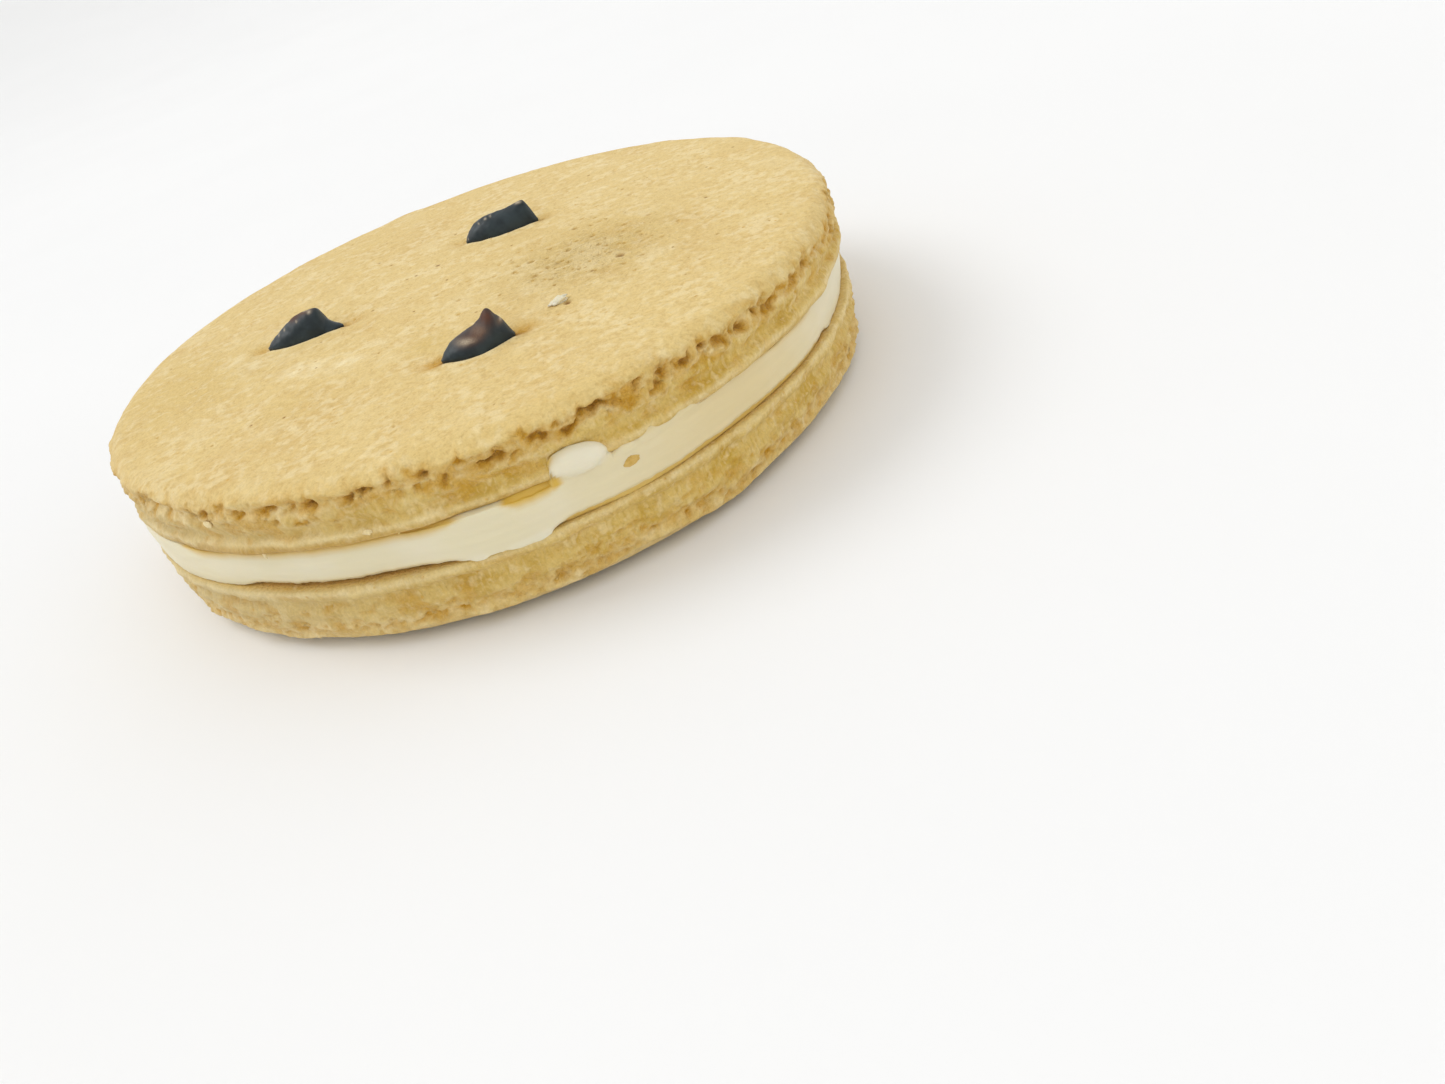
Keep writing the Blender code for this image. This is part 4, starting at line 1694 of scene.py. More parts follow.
    def wall_spot(self, column: int, inset: float, height: float, lean: float) -> Spot:
        """A spot of the wall or the rounded rim.

        Args:
            column: the wall's column.
            inset: how far the smooth wall lies in from the lip.
            height: height above the base.
            lean: 0 on the upright wall, rising to 1 on the face.

        Returns:
            The spot.
        """
        angle = FULL_TURN * column / self.segments
        upright = 1.0 - lean
        grown = between(self.foot_roughness, 1.0, self.foot.at(height))
        lump = waver(angle, self.seed + height / MM, BISCUIT_RADIUS / self.wall_lump, self.wall_roughness)
        bulge = lump + self.wall_relief(polar(BISCUIT_RADIUS, angle, height)) * grown
        bulge *= between(self.rim_roughness, 1.0, upright * upright)
        read = self.torn_crust(column, angle, height)
        pocket, ridge = self.broken_crumb(angle, height)
        hollow = self.soft_hollow(angle, height) * grown * upright
        above = height - self.crag_middle(angle)
        groove = hill(above / self.crag_half_height)
        open_share = between(self.groove_least, 1.0, self.crag_share(angle))
        inwards = max(read.inwards, self.pocket_depth * pocket)
        inwards += self.crag * self.crag_kept * open_share * groove
        radius = self.lip_radius(angle) - inset + bulge - (inwards - read.brim) * upright
        place = polar(radius - self.hollow_depth * hollow, angle, height)
        wrinkle = self.wrinkles(place.x, place.y)
        place.z += self.wrinkle_height * wrinkle * lean
        band = self.band_edge.at(above + layered(place, self.band_ragged, self.seed))
        wall_side = between(1.0, self.band_side, band)
        side = between(self.baked_side(place.x, place.y, wrinkle), wall_side, self.rim_over.left(lean))
        # The lip's painted highlight goes into the pale mark, its painted shade into the torn, brown and grey
        # marks.
        light, shade = self.lip(angle, height)
        torn = max(
            read.torn,
            self.groove_torn * groove * side,
            self.pocket_torn * pocket,
            self.hollow_torn * hollow,
            self.shade_torn * shade,
        )
        pale = self.highlight_pale * light + max(read.pale, self.ridge_pale * ridge * upright) * (1.0 - torn)
        pale += self.rim_pale.at(wrinkle) * lean
        brown = max(read.brown, self.shade_brown * shade)
        # Painted grey shade, in places of the wall and under the lip.
        grey_shade = max(strongest(self.grey_shade, math.degrees(angle)), self.shade_grey * shade)
        return Spot(place, side, torn, pale, brown, grey_shade)

    def shoulder_spot(self, column: int, brink: float, step: float) -> Spot:
        """A spot of the rounded rim.

        Args:
            column: the wall's column.
            brink: the height where the rounding starts, just above the torn crust.
            step: 0 at the brink and 1 on the face.

        Returns:
            The spot.
        """
        turn = step * math.pi / 2.0
        inset = self.shoulder_inset + self.shoulder_radius * (1.0 - math.cos(turn))
        inset -= self.crust_swell * (1.0 - step)
        height = self.rim_height - self.shoulder_radius * (1.0 - math.sin(turn))
        angle = FULL_TURN * column / self.segments
        radius = self.lip_radius(angle) - inset
        x = radius * math.cos(angle)
        y = radius * math.sin(angle)
        if step == 1.0:
            return self.face_spot(x, y)
        height = min(max(height, brink + step * self.shoulder_least), self.face_height(x, y))
        return self.wall_spot(column, inset, height, step)

    def wall_column(self, column: int) -> list[Spot]:
        """The wall from the lip up to the face, in one column.

        Args:
            column: the column.

        Returns:
            Its spots.
        """
        spots = []
        for step in steps_along(self.wall_rows):
            inset, height = through(self.wall_line, step)
            spots.append(self.wall_spot(column, inset, height, 0.0))
        start_inset, start = self.wall_line[-1]
        brink = self.crag_middle(FULL_TURN * column / self.segments) + self.crag_brink * self.crag_half_height
        for row in range(self.band_rows):
            share = row / self.band_rows
            inset = between(start_inset, self.crag_inset, share)
            spots.append(self.wall_spot(column, inset, between(start, brink, share), 0.0))
        for row in range(self.shoulder_rows + 1):
            spots.append(self.shoulder_spot(column, brink, row / self.shoulder_rows))
        return spots

    def face_places(self, rim: Sequence[Vector]) -> list[Vector]:
        """Places of the face's points: an even net, finer round the chips and pits.

        Args:
            rim: the points of the rim that the face ends at.

        Returns:
            The places inside the rim.
        """
        places = []
        inner = min(point.length for point in rim) - self.net_rim_gap
        rows = math.ceil(inner / (self.face_step * NET_ROW))
        half = math.ceil(inner / self.face_step)
        for j in range(-rows, rows + 1):
            for i in range(-half, half + 1):
                x = (i + 0.5 * (j % 2)) * self.face_step + self.chance.uniform(*self.net_jitter)
                y = j * self.face_step * NET_ROW + self.chance.uniform(*self.net_jitter)
                if math.hypot(x, y) < inner and self.net_is_even(x, y):
                    places.append(Vector((x, y)))
        for pit in self.pits:
            places.append(Vector((pit.x, pit.y)))
            for share, count in self.net_pit_rings:
                for turn in ring_angles(count):
                    reach = share * pit.radius
                    x = pit.x + reach * pit.stretch * math.cos(turn)
                    places.append(Vector((x, pit.y + reach * math.sin(turn))))
        for chip in self.chips:
            places.extend(self.seat_places(chip))
        return [place for place in places if place.length < inner]

    def net_is_even(self, x: float, y: float) -> bool:
        """Whether the even net covers a place, clear of the chips and pits."""
        clear = all(chip.gap(x, y) >= self.net_chip_gap for chip in self.chips)
        return clear and all(p.away(x, y) > self.net_pit_gap for p in self.pit_squares.get(square(x, y), ()))

    def seat_places(self, chip: ChocolateChip) -> list[Vector]:
        """A finer net round a chip, without the middle, which the chip covers.

        Args:
            chip: the chip.

        Returns:
            The places of the net.
        """
        made = []
        reach = math.ceil((chip.length / 2.0 + self.seat_reach) / self.seat_step)
        for j in range(-reach, reach + 1):
            for i in range(-reach, reach + 1):
                x = chip.x + (i + 0.5 * (j % 2)) * self.seat_step
                y = chip.y + j * self.seat_step * NET_ROW
                if self.seat_inner < chip.gap(x, y) < self.seat_outer:
                    made.append(Vector((x, y)))
        return made

    def lay_face(self, skin: Skin, rim: list[int]) -> None:
        """Closes the skin with the baked face.

        Args:
            skin: the biscuit's skin so far.
            rim: the numbers of the last ring's spots.
        """
        rim_places = [skin.spots[i].place.xy for i in rim]
        inner_places = self.face_places(rim_places)
        count = len(inner_places)
        loop = list(range(count, count + len(rim)))
        in_mm = [place / MM for place in inner_places + rim_places]
        laid = delaunay_2d_cdt(in_mm, [], [loop], NET_INSIDE_ONLY, NET_TOLERANCE, True)
        net, _, faces, sources = laid[:4]
        numbers = []
        for place, source in zip(net, sources):
            on_rim = [i for i in source if i >= count]
            if on_rim:
                numbers.append(rim[on_rim[0] - count])
            else:
                numbers.extend(skin.add([self.face_spot(place.x * MM, place.y * MM)]))
        skin.faces.extend(tuple(numbers[i] for i in corners) for corners in faces)

    def build(self, finish: bpy.types.Material) -> None:
        """Builds the biscuit and sets it in the cookie.

        Args:
            finish: its material.
        """
        skin = Skin()
        rings = [skin.add([Spot(Vector((0.0, 0.0, 0.0)), side=1.0, torn=1.0)])]
        for radius, count, torn, pale in reversed(self.base_rings):
            ring = [Spot(polar(radius, a, 0.0), side=1.0, torn=torn, pale=pale) for a in ring_angles(count)]
            rings.append(skin.add(ring))
        for row in zip(*[self.wall_column(column) for column in range(self.segments)]):
            rings.append(skin.add(row))
        skin.zip_all(rings)
        self.lay_face(skin, rings[-1])
        settle(skin.make(self.node + "_baked", finish, self.place), self.slot, self.node)


@dataclass(frozen=True)
class Gap:
    """A stretch of the seam, in degrees, where the cream is drawn back from a biscuit and painted amber as
    the shade in the gap.
    """

    start: float
    end: float
    height: float
    amber_share: float = 1.0
    taper: float = 4.0
    depth: float = 0.62 * MM

    def share(self, degrees: float) -> float:
        """How far an angle lies within the gap: 0 outside, 1 well inside."""
        away = abs(math.remainder(degrees - (self.start + self.end) / 2.0, FULL_CIRCLE))
        return Rise(0.0, self.taper).at((self.end - self.start) / 2.0 - away)


def widest(gaps: Sequence[Gap], degrees: float) -> tuple[float, Gap]:
    """The gap that an angle lies furthest in, and how far it lies in it."""
    gap = max(gaps, key=lambda each: each.share(degrees))
    return gap.share(degrees), gap


@dataclass(frozen=True)
class Climb:
    """A place where the cream climbs over the upper lip: its top's angle and its reach to either side in
    degrees, its height over the biscuit's base and how far it stands off."""

    angle: float
    before: float
    after: float
    height: float
    bulge: float
    sharpness: float = 2.0
    evenness: float = 0.7
    raggedness: float = 0.5
    ragged_degrees: float = 2.3

    def share(self, degrees: float) -> float:
        """Reads how much of its height it has at an angle.

        Args:
            degrees: the angle.

        Returns:
            The share, about 1 at its top.
        """
        away = math.remainder(degrees - self.angle, FULL_CIRCLE)
        away = abs(away) / (self.before if away < 0.0 else self.after)
        ragged = self.raggedness * rough(degrees / self.ragged_degrees, self.angle, CREAM_SEED)
        return hill(away) ** self.sharpness * (self.evenness + ragged)


def wall_place(degrees: float, radius: float, height: float) -> Vector:
    """A place on the wall, with its angle in degrees and its sizes in metres."""
    return polar(radius, math.radians(degrees), height)


def ragged_at(degrees: float, layers: Sequence[Layer]) -> float:
    """The raggedness of the cream's edge at an angle, with the sizes of its lumps in degrees."""
    return sum(layer.strength * rough(degrees / layer.size, layer.shift, CREAM_SEED) for layer in layers)


@dataclass(frozen=True)
class Crumb:
    """A lump that sticks to the cookie: middle, half sizes, turns in degrees, how pale or browned it is."""

    place: Vector
    half_size: Triple
    turns: Triple
    pale: float = 0.0
    torn: float = 0.0
    lumpy: float = 1.0
    rows: int = 9
    side: float = 0.5
    lump_sizes: tuple[Pair, ...] = ((0.22, 1.6), (0.12, 3.7))
    tries: int = 3
    fall_away: float = 1.6 * MM

    def turned(self) -> Matrix:
        """Moves the lump from its own frame to its place.

        Returns:
            The move.
        """
        turned = Matrix.Translation(self.place)
        for angle, axis in zip(reversed(self.turns), "ZYX"):
            turned = turned @ Matrix.Rotation(math.radians(angle), 4, axis)
        return turned

    def size(self, way: Vector, seed: float) -> float:
        """The lump's uneven size in a direction, about 1."""
        shift = Vector((0.0, 0.0, seed))
        return 1.0 + sum(self.lumpy * most * rough(*(way * often + shift)) for most, often in self.lump_sizes)

    def skin_over(self, place: Vector, seed: float) -> Pair:
        """Reads the lump's outer skin over a place of the wall.

        Args:
            place: the place.
            seed: the lump's unevenness.

        Returns:
            The radius of the skin, which falls away outside the lump, and how far the place is from the
            lump's middle, 1 at its outline.
        """
        near = self.turned().inverted() @ place
        u = near.y / self.half_size[1]
        v = near.z / self.half_size[2]
        size = 1.0
        for _ in range(self.tries):
            deep = math.sqrt(max(1.0 - (u * u + v * v) / size**2, 0.0))
            size = self.size(Vector((deep, u / size, v / size)).normalized(), seed)
        away = math.hypot(u, v) / size
        radius = math.hypot(self.place.x, self.place.y)
        if away < 1.0:
            return radius + self.half_size[0] * size * math.sqrt(1.0 - away * away), away
        return radius - self.fall_away * (away - 1.0), away

    def add_to(self, skin: Skin, seed: float) -> None:
        """Adds the lump's uneven body to a skin.

        Args:
            skin: the skin.
            seed: the lump's unevenness.
        """
        turned = self.turned()
        rings = []
        for row in range(self.rows + 1):
            tilt = math.pi * row / self.rows
            count = 1 if row in (0, self.rows) else 2 * self.rows
            ring = []
            for angle in ring_angles(count):
                way = polar(math.sin(tilt), angle, math.cos(tilt))
                size = self.size(way, seed)
                point = Vector(w * h * size for w, h in zip(way, self.half_size))
                ring.append(Spot(turned @ point, side=self.side, pale=self.pale, torn=self.torn))
            rings.append(skin.add(ring))
        skin.zip_all(rings)


@dataclass(frozen=True)
class LowerHem:
    """How the cream's edge is shaped where it meets the lower biscuit, from its root outwards."""

    rows: int = 11
    ragged: Layers = (Layer(0.09 * MM, 3.1, 1.0), Layer(0.05 * MM, 0.9, 2.0))
    tuck: float = 1.2 * MM
    tuck_bend: float = 2.2
    shut_height: float = 0.12 * MM
    gap_rise: Rise = Rise(-0.15, 0.85)
    spilled: Rise = Rise(0.01 * MM, 0.07 * MM)
    hanging: float = 0.85
    hang_end: float = 0.30 * MM
    lap: Pair = (-0.5 * MM, 0.12 * MM)
    lapping: Rise = Rise(0.0, 0.7)
    # Painted amber shade on the cream over the lower gap, fading out towards its edge.
    amber_share: float = 0.85
    amber_fade: Rise = Rise(0.50, 1.0, 0.65)
    pale: float = 0.2


@dataclass(frozen=True)
class UpperHem:
    """How the cream's edge is shaped where it meets the upper biscuit, from the edge in to its root."""

    rows: int = 15
    ragged: Layers = (Layer(0.08 * MM, 4.1, 3.0), Layer(0.04 * MM, 1.1, 4.0))
    tuck: float = 1.2 * MM
    tuck_bend: float = 2.2
    shelf_tuck: float = 0.62 * MM
    shelf_bend: float = 1.2
    shelf_end: Rise = Rise(0.20, 1.0)
    shut_height: float = -0.14 * MM
    climbed: Rise = Rise(0.03 * MM, 0.30 * MM)
    dropped: Rise = Rise(0.0, 0.3 * MM)
    climbing: float = 0.86
    climb_start: float = -0.55 * MM
    climb_end: float = 0.1 * MM
    sunk: Pair = (0.12 * MM, 1.2 * MM)
    tucked: float = 0.6 * MM
    tucking: Rise = Rise(-0.10 * MM, 0.30 * MM)
    fresh_climb: Rise = Rise(0.6 * MM, 1.3 * MM, 0.75)
    fresh_height: Rise = Rise(-0.35 * MM, 0.5 * MM)
    # Painted amber shade on the drawn-back shelf.
    shelf_shade: Rise = Rise(0.0, 0.5)
    thin_climb: Rise = Rise(0.6 * MM, 0.9 * MM, 0.38)
    thin_height: Rise = Rise(-0.4 * MM, 0.3 * MM)


@dataclass
class CreamLayer:
    """The cream between the biscuits: nearly flush, with gaps in places, squeezed over a lip in others."""

    upper: Biscuit
    lower: Biscuit
    radius: float = 34.35 * MM
    waver_size: float = 0.30 * MM
    waver_lumps: float = 4.0
    segments: int = 1200
    inner_rings: tuple[tuple[float, int], ...] = ((24.0 * MM, 90), (31.5 * MM, 400))
    squeezes: tuple[Swell, ...] = (
        Swell(-98.0, 9.0, 0.85 * MM),
        Swell(-62.0, 26.0, 0.55 * MM),
        Swell(20.0, 22.0, 0.60 * MM),
        Swell(118.0, 15.0, 0.70 * MM),
        Swell(-158.0, 16.0, 0.50 * MM),
        Swell(-78.0, 9.0, 0.35 * MM),
    )
    gaps_below: tuple[Gap, ...] = (
        Gap(-137.5, -102.2, 0.46 * MM),
        Gap(-93.8, -40.0, 0.60 * MM, 1.0, 4.0, 0.42 * MM),
        Gap(-22.0, 14.0, 0.36 * MM),
        Gap(38.0, 92.0, 0.42 * MM),
        Gap(126.0, 184.0, 0.34 * MM),
    )
    gaps_above: tuple[Gap, ...] = (
        Gap(-148.0, -100.0, 0.36 * MM, 0.9, 7.0),
        Gap(-97.8, -88.4, 0.42 * MM, 1.0, 3.2),
        Gap(-62.0, -42.0, 0.22 * MM, 0.6, 7.0),
        Gap(-35.0, 6.0, 0.44 * MM, 0.9),
        Gap(32.0, 104.0, 0.44 * MM, 0.8),
        Gap(130.0, 190.0, 0.42 * MM, 0.9),
    )
    spills_below: tuple[Swell, ...] = (
        Swell(-101.8, 1.3, 0.14 * MM, 2.0),
        Swell(-95.4, 2.6, 0.52 * MM, 2.0),
        Swell(24.0, 9.0, 0.35 * MM, 2.0),
        Swell(116.0, 7.0, 0.45 * MM, 2.0),
    )
    spill_even: float = 0.75
    spill_ragged: Layers = (Layer(0.35, 1.6),)
    climbs: tuple[Climb, ...] = (
        Climb(-77.0, 9.0, 12.0, 0.50 * MM, 0.14 * MM),
        Climb(19.0, 9.0, 9.0, 0.40 * MM, 0.25 * MM),
        Climb(117.0, 5.0, 5.0, 0.60 * MM, 0.40 * MM),
    )
    bulge_foot: float = 0.75 * MM
    bulge_top: float = 0.6
    least_climb: float = 0.001
    drop: Crumb = Crumb(
        wall_place(-86.8, 34.95 * MM, 10.66 * MM),
        (0.74 * MM, 2.15 * MM, 1.06 * MM),
        (-5.0, 0.0, -86.8),
        pale=0.40,
        lumpy=0.25,
    )
    drop_seed: float = 3.4
    drop_edge: float = 0.10 * MM
    drop_end: float = 1.12
    drop_reach: float = 2.0
    drop_whitens: Rise = Rise(0.75, 1.30)
    # The drop carries none of the painted amber.
    drop_clears_amber: Rise = Rise(0.90, 1.12)
    fillet: float = 0.40 * MM
    fillet_lift: float = 0.25
    joined_rows: int = 13
    # Places where the cream is painted yellower.
    yellowing: tuple[Swell, ...] = (
        # Painted yellow bounce light from the neighbouring cookies.
        Swell(-64.0, 21.0, 0.36),
        Swell(-154.0, 15.0, 0.08),
        Swell(40.0, 30.0, 0.10),
        Swell(150.0, 24.0, 0.08),
    )
    lower_hem: LowerHem = LowerHem()
    upper_hem: UpperHem = UpperHem()
    middle_rows: int = 12
    streak: float = 0.035 * MM
    streak_turns: float = 6.0
    streak_height: float = 0.42 * MM
    crown: float = 0.10 * MM
    ends: float = 4.0
    # How the painted amber shade of the gaps spreads over the cream's face.
    amber_up: Rise = Rise(0.0, 0.13)
    amber_top: float = 1.02
    amber_down: float = 0.30
    amber_least: float = 0.1

    def reach(self, angle: float) -> float:
        """Radius of the cream's edge at an angle."""
        reach = self.radius + waver(angle, CREAM_SEED, self.waver_lumps, self.waver_size)
        return reach + sum(squeeze.at(math.degrees(angle)) for squeeze in self.squeezes)

    def spill(self, degrees: float) -> float:
        """How far the cream hangs over the lower lip at an angle."""
        ragged = self.spill_even + ragged_at(degrees, self.spill_ragged)
        return strongest(self.spills_below, degrees) * ragged

    def climb(self, degrees: float) -> float:
        """How high the cream climbs over the upper lip at an angle."""
        return max(climb.height * climb.share(degrees) for climb in self.climbs)

    def stand_off(self, degrees: float, level: float) -> float:
        """Reads how far the cream stands off where it climbs over the upper lip.

        Args:
            degrees: the angle of a place.
            level: its height in the cookie.

        Returns:
            The distance.
        """
        most = 0.0
        for climb in self.climbs:
            share = climb.share(degrees)
            if share < self.least_climb:
                continue
            foot = self.bulge_foot * share
            part = (level - UPPER_BASE + foot) / (foot + climb.height * share)
            if 0.0 < part < 1.0:
                past = max((part - self.bulge_top) / (1.0 - self.bulge_top), 0.0)
                falling = math.sqrt(1.0 - past**2)
                most = max(most, climb.bulge * share * Rise(0.0, self.bulge_top).at(part) * falling)
        return most

    def bottom(self, angle: float) -> list[Spot]:
        """The cream's edge where it meets the lower biscuit: shut, open to a gap, or spilled over the lip.

        Args:
            angle: the angle.

        Returns:
            Its spots, from its root outwards.
        """
        degrees = math.degrees(angle)
        reach = self.reach(angle)
        hem = self.lower_hem
        ragged = ragged_at(degrees, hem.ragged)
        below, gap = widest(self.gaps_below, degrees)
        hang = self.spill(degrees)
        over = hem.spilled.at(hang)
        lip = self.lower.lip_radius(-angle)
        spots = []
        for row in range(hem.rows):
            step = row / (hem.rows - 1)
            lifted = (gap.height + ragged) * hem.gap_rise.at(step)
            inset = between(hem.tuck * (1.0 - step) ** hem.tuck_bend, gap.depth * (1.0 - step), below)
            height = between((hem.shut_height + ragged) * step**2, lifted, below)
            drop = -hang * math.sin(hem.hanging * math.pi * min(step / hem.hanging, 1.0))
            if step > hem.hanging:
                drop = between(drop, hem.hang_end, (step - hem.hanging) / (1.0 - hem.hanging))
            lap = lip + between(*hem.lap, hem.lapping.at(step))
            radius = between(reach - inset, max(lap, reach - inset), over)
            # Painted amber shade where the cream stands over a gap.
            amber_share = hem.amber_share * below * gap.amber_share * (1.0 - over) * (1.0 - hem.amber_fade.at(step))
            level = LOWER_THICKNESS + between(height, drop, over)
            spots.append(Spot(polar(radius, angle, level), pale=hem.pale * over, brown=amber_share))
        return spots

    def top(self, angle: float) -> list[Spot]:
        """The cream's edge where it meets the upper biscuit: shut, drawn back in a shelf, or over the lip.

        Args:
            angle: the angle.

        Returns:
            Its spots, from the edge in to its root.
        """
        degrees = math.degrees(angle)
        reach = self.reach(angle)
        hem = self.upper_hem
        ragged = ragged_at(degrees, hem.ragged)
        above, gap = widest(self.gaps_above, degrees)
        spread = self.climb(degrees)
        high = max(spread, self.drop_top(degrees))
        dropped = hem.dropped.at(high - spread)
        over = hem.climbed.at(high)
        lip = self.upper.lip_radius(angle)
        # Painted amber shade on the shelf, and the yellower places.
        amber_shade_and_tint = hem.shelf_shade.at(above) * gap.amber_share * (1.0 - over * (1.0 - dropped))
        amber_shade_and_tint = max(amber_shade_and_tint, self.yellowing_at(degrees))
        spots = []
        for row in range(hem.rows):
            step = row / (hem.rows - 1)
            inset = between(hem.tuck * step**hem.tuck_bend, hem.shelf_tuck * step**hem.shelf_bend, above)
            shelf = (ragged - gap.height) * hem.shelf_end.left(step)
            height = between(between(hem.shut_height, 0.0, step), shelf, above)
            part = min(step / hem.climbing, 1.0)
            if step > hem.climbing:
                past = (step - hem.climbing) / (1.0 - hem.climbing)
                stand = lip - between(*hem.sunk, past)
                rise = between(high, hem.climb_end, past)
            else:
                rise = between(hem.climb_start, high, (1.0 - math.cos(math.pi * part)) / 2.0)
                stand = between(reach, lip - hem.sunk[0], part) + self.stand_off(degrees, UPPER_BASE + rise)
                tucked = between(reach, lip - hem.tucked, hem.tucking.at(rise))
                stand = between(stand, tucked, dropped)
            radius = between(reach - inset, stand, over)
            level = UPPER_BASE + between(height, rise, over)
            pale = hem.fresh_climb.at(spread) * hem.fresh_height.at(rise)
            thin = over * hem.thin_climb.left(high) * hem.thin_height.at(rise)
            spots.append(Spot(polar(radius, angle, level), pale=pale, brown=max(amber_shade_and_tint, thin)))
        return spots

    def yellowing_at(self, degrees: float) -> float:
        """How far the cream is painted yellower at an angle."""
        return strongest(self.yellowing, degrees)

    def column(self, angle: float) -> list[Spot]:
        """The cream's edge at one angle.

        Args:
            angle: the angle.

        Returns:
            Its spots, from the lower biscuit to the upper one.
        """
        degrees = math.degrees(angle)
        low = self.bottom(angle)
        high = self.top(angle)
        start = low[-1].place
        end = high[0].place
        end_radius = math.hypot(end.x, end.y) - self.stand_off(degrees, end.z)
        above = widest(self.gaps_above, degrees)[0]
        amber_down = Rise(self.amber_top - self.amber_down * max(above, self.amber_least), self.amber_top)
        spots = list(low)
        for row in range(1, self.middle_rows):
            step = row / self.middle_rows
            height = between(start.z, end.z, step)
            streak = self.streak * rough(angle * self.streak_turns, height / self.streak_height, CREAM_SEED)
            crown = self.crown * math.sin(math.pi * step) + self.stand_off(degrees, height)
            near = between(math.hypot(start.x, start.y), self.reach(angle), min(step * self.ends, 1.0))
            near = between(near, end_radius, max(step * self.ends - (self.ends - 1.0), 0.0))
            # Painted amber shade from the gaps, and the yellower places.
            amber_share = max(
                low[-1].brown * self.amber_up.left(step),
                high[0].brown * amber_down.at(step),
                self.yellowing_at(degrees),
            )
            spots.append(Spot(polar(near + crown + streak, angle, height), brown=min(amber_share, 1.0)))
        return [self.joined(spot) for spot in spots + high[:self.joined_rows]] + high[self.joined_rows:]

    def joined(self, spot: Spot) -> Spot:
        """Draws a spot out to the drop's skin where the drop covers it, with a soft fillet round it.

        Args:
            spot: a spot of the sheet.

        Returns:
            The spot, moved and coloured.
        """
        out, away = self.drop.skin_over(spot.place, self.drop_seed)
        if away > self.drop_reach:
            return spot
        flat = Vector((spot.place.x, spot.place.y))
        apart = out - flat.length
        blend = max(1.0 - abs(apart) / self.fillet, 0.0)
        radius = flat.length + max(apart, 0.0) + self.fillet_lift * self.fillet * blend * blend
        place = Vector((*(flat.normalized() * radius), spot.place.z))
        pale = between(self.drop.pale, spot.pale, self.drop_whitens.at(away))
        return spot._replace(place=place, pale=pale, brown=spot.brown * self.drop_clears_amber.at(away))

    def drop_top(self, degrees: float) -> float:
        """Reads how high the drop's upper outline lies.

        Args:
            degrees: the angle.

        Returns:
            The height over the upper biscuit's base.
        """
        middle = math.degrees(math.atan2(self.drop.place.y, self.drop.place.x))
        along = math.radians(math.remainder(degrees - middle, FULL_CIRCLE)) * BISCUIT_RADIUS
        share = abs(along) / self.drop.half_size[1]
        level = self.drop.place.z - UPPER_BASE + self.drop_edge
        if share < 1.0:
            lean = math.sin(math.radians(self.drop.turns[0])) * along
            return level + lean + self.drop.half_size[2] * math.sqrt(1.0 - share * share)
        return level * max((self.drop_end - share) / (self.drop_end - 1.0), 0.0)

    def build(self, finish: bpy.types.Material) -> None:
        """Builds the cream layer.

        Args:
            finish: its material.
        """
        skin = Skin()
        rings = [skin.add([Spot(Vector((0.0, 0.0, LOWER_THICKNESS)))])]
        for radius, count in self.inner_rings:
            rings.append(skin.add([Spot(polar(radius, a, LOWER_THICKNESS)) for a in ring_angles(count)]))
        for row in zip(*[self.column(angle) for angle in ring_angles(self.segments)]):
            rings.append(skin.add(row))
        for radius, count in reversed(self.inner_rings):
            rings.append(skin.add([Spot(polar(radius, a, UPPER_BASE)) for a in ring_angles(count)]))
        rings.append(skin.add([Spot(Vector((0.0, 0.0, UPPER_BASE)))]))
        skin.zip_all(rings)
        settle(skin.make("cream_filling", finish, Matrix.Identity(4)), Slot.CREAM, "cream")


# Crumbs on the wall in front: angle, radius and height, half sizes, how far tipped and turned, how pale.
WALL_CRUMBS = tuple(
    Crumb(wall_place(angle, radius * MM, height * MM), (x * MM, y * MM, z * MM), (0.0, tip, turn), pale)
    for angle, radius, height, x, y, z, tip, turn, pale in (
        (-129.0, 34.3, 1.55, 0.42, 0.26, 0.30, 20.0, -129.0, 0.3),
        (-128.1, 34.85, 9.95, 0.10, 0.09, 0.42, 0.0, -128.0, 0.9),
        (-112.4, 35.05, 10.75, 0.14, 0.36, 0.22, 0.0, -112.0, 0.6),
        (-134.4, 34.85, 12.75, 0.14, 0.42, 0.26, 0.0, -134.0, 0.7),
        (-100.2, 34.85, 6.38, 0.26, 0.38, 0.24, 0.0, -100.0, 0.35),
        (-98.9, 34.9, 6.36, 0.24, 0.42, 0.22, 0.0, -98.0, 0.35),
    )
)


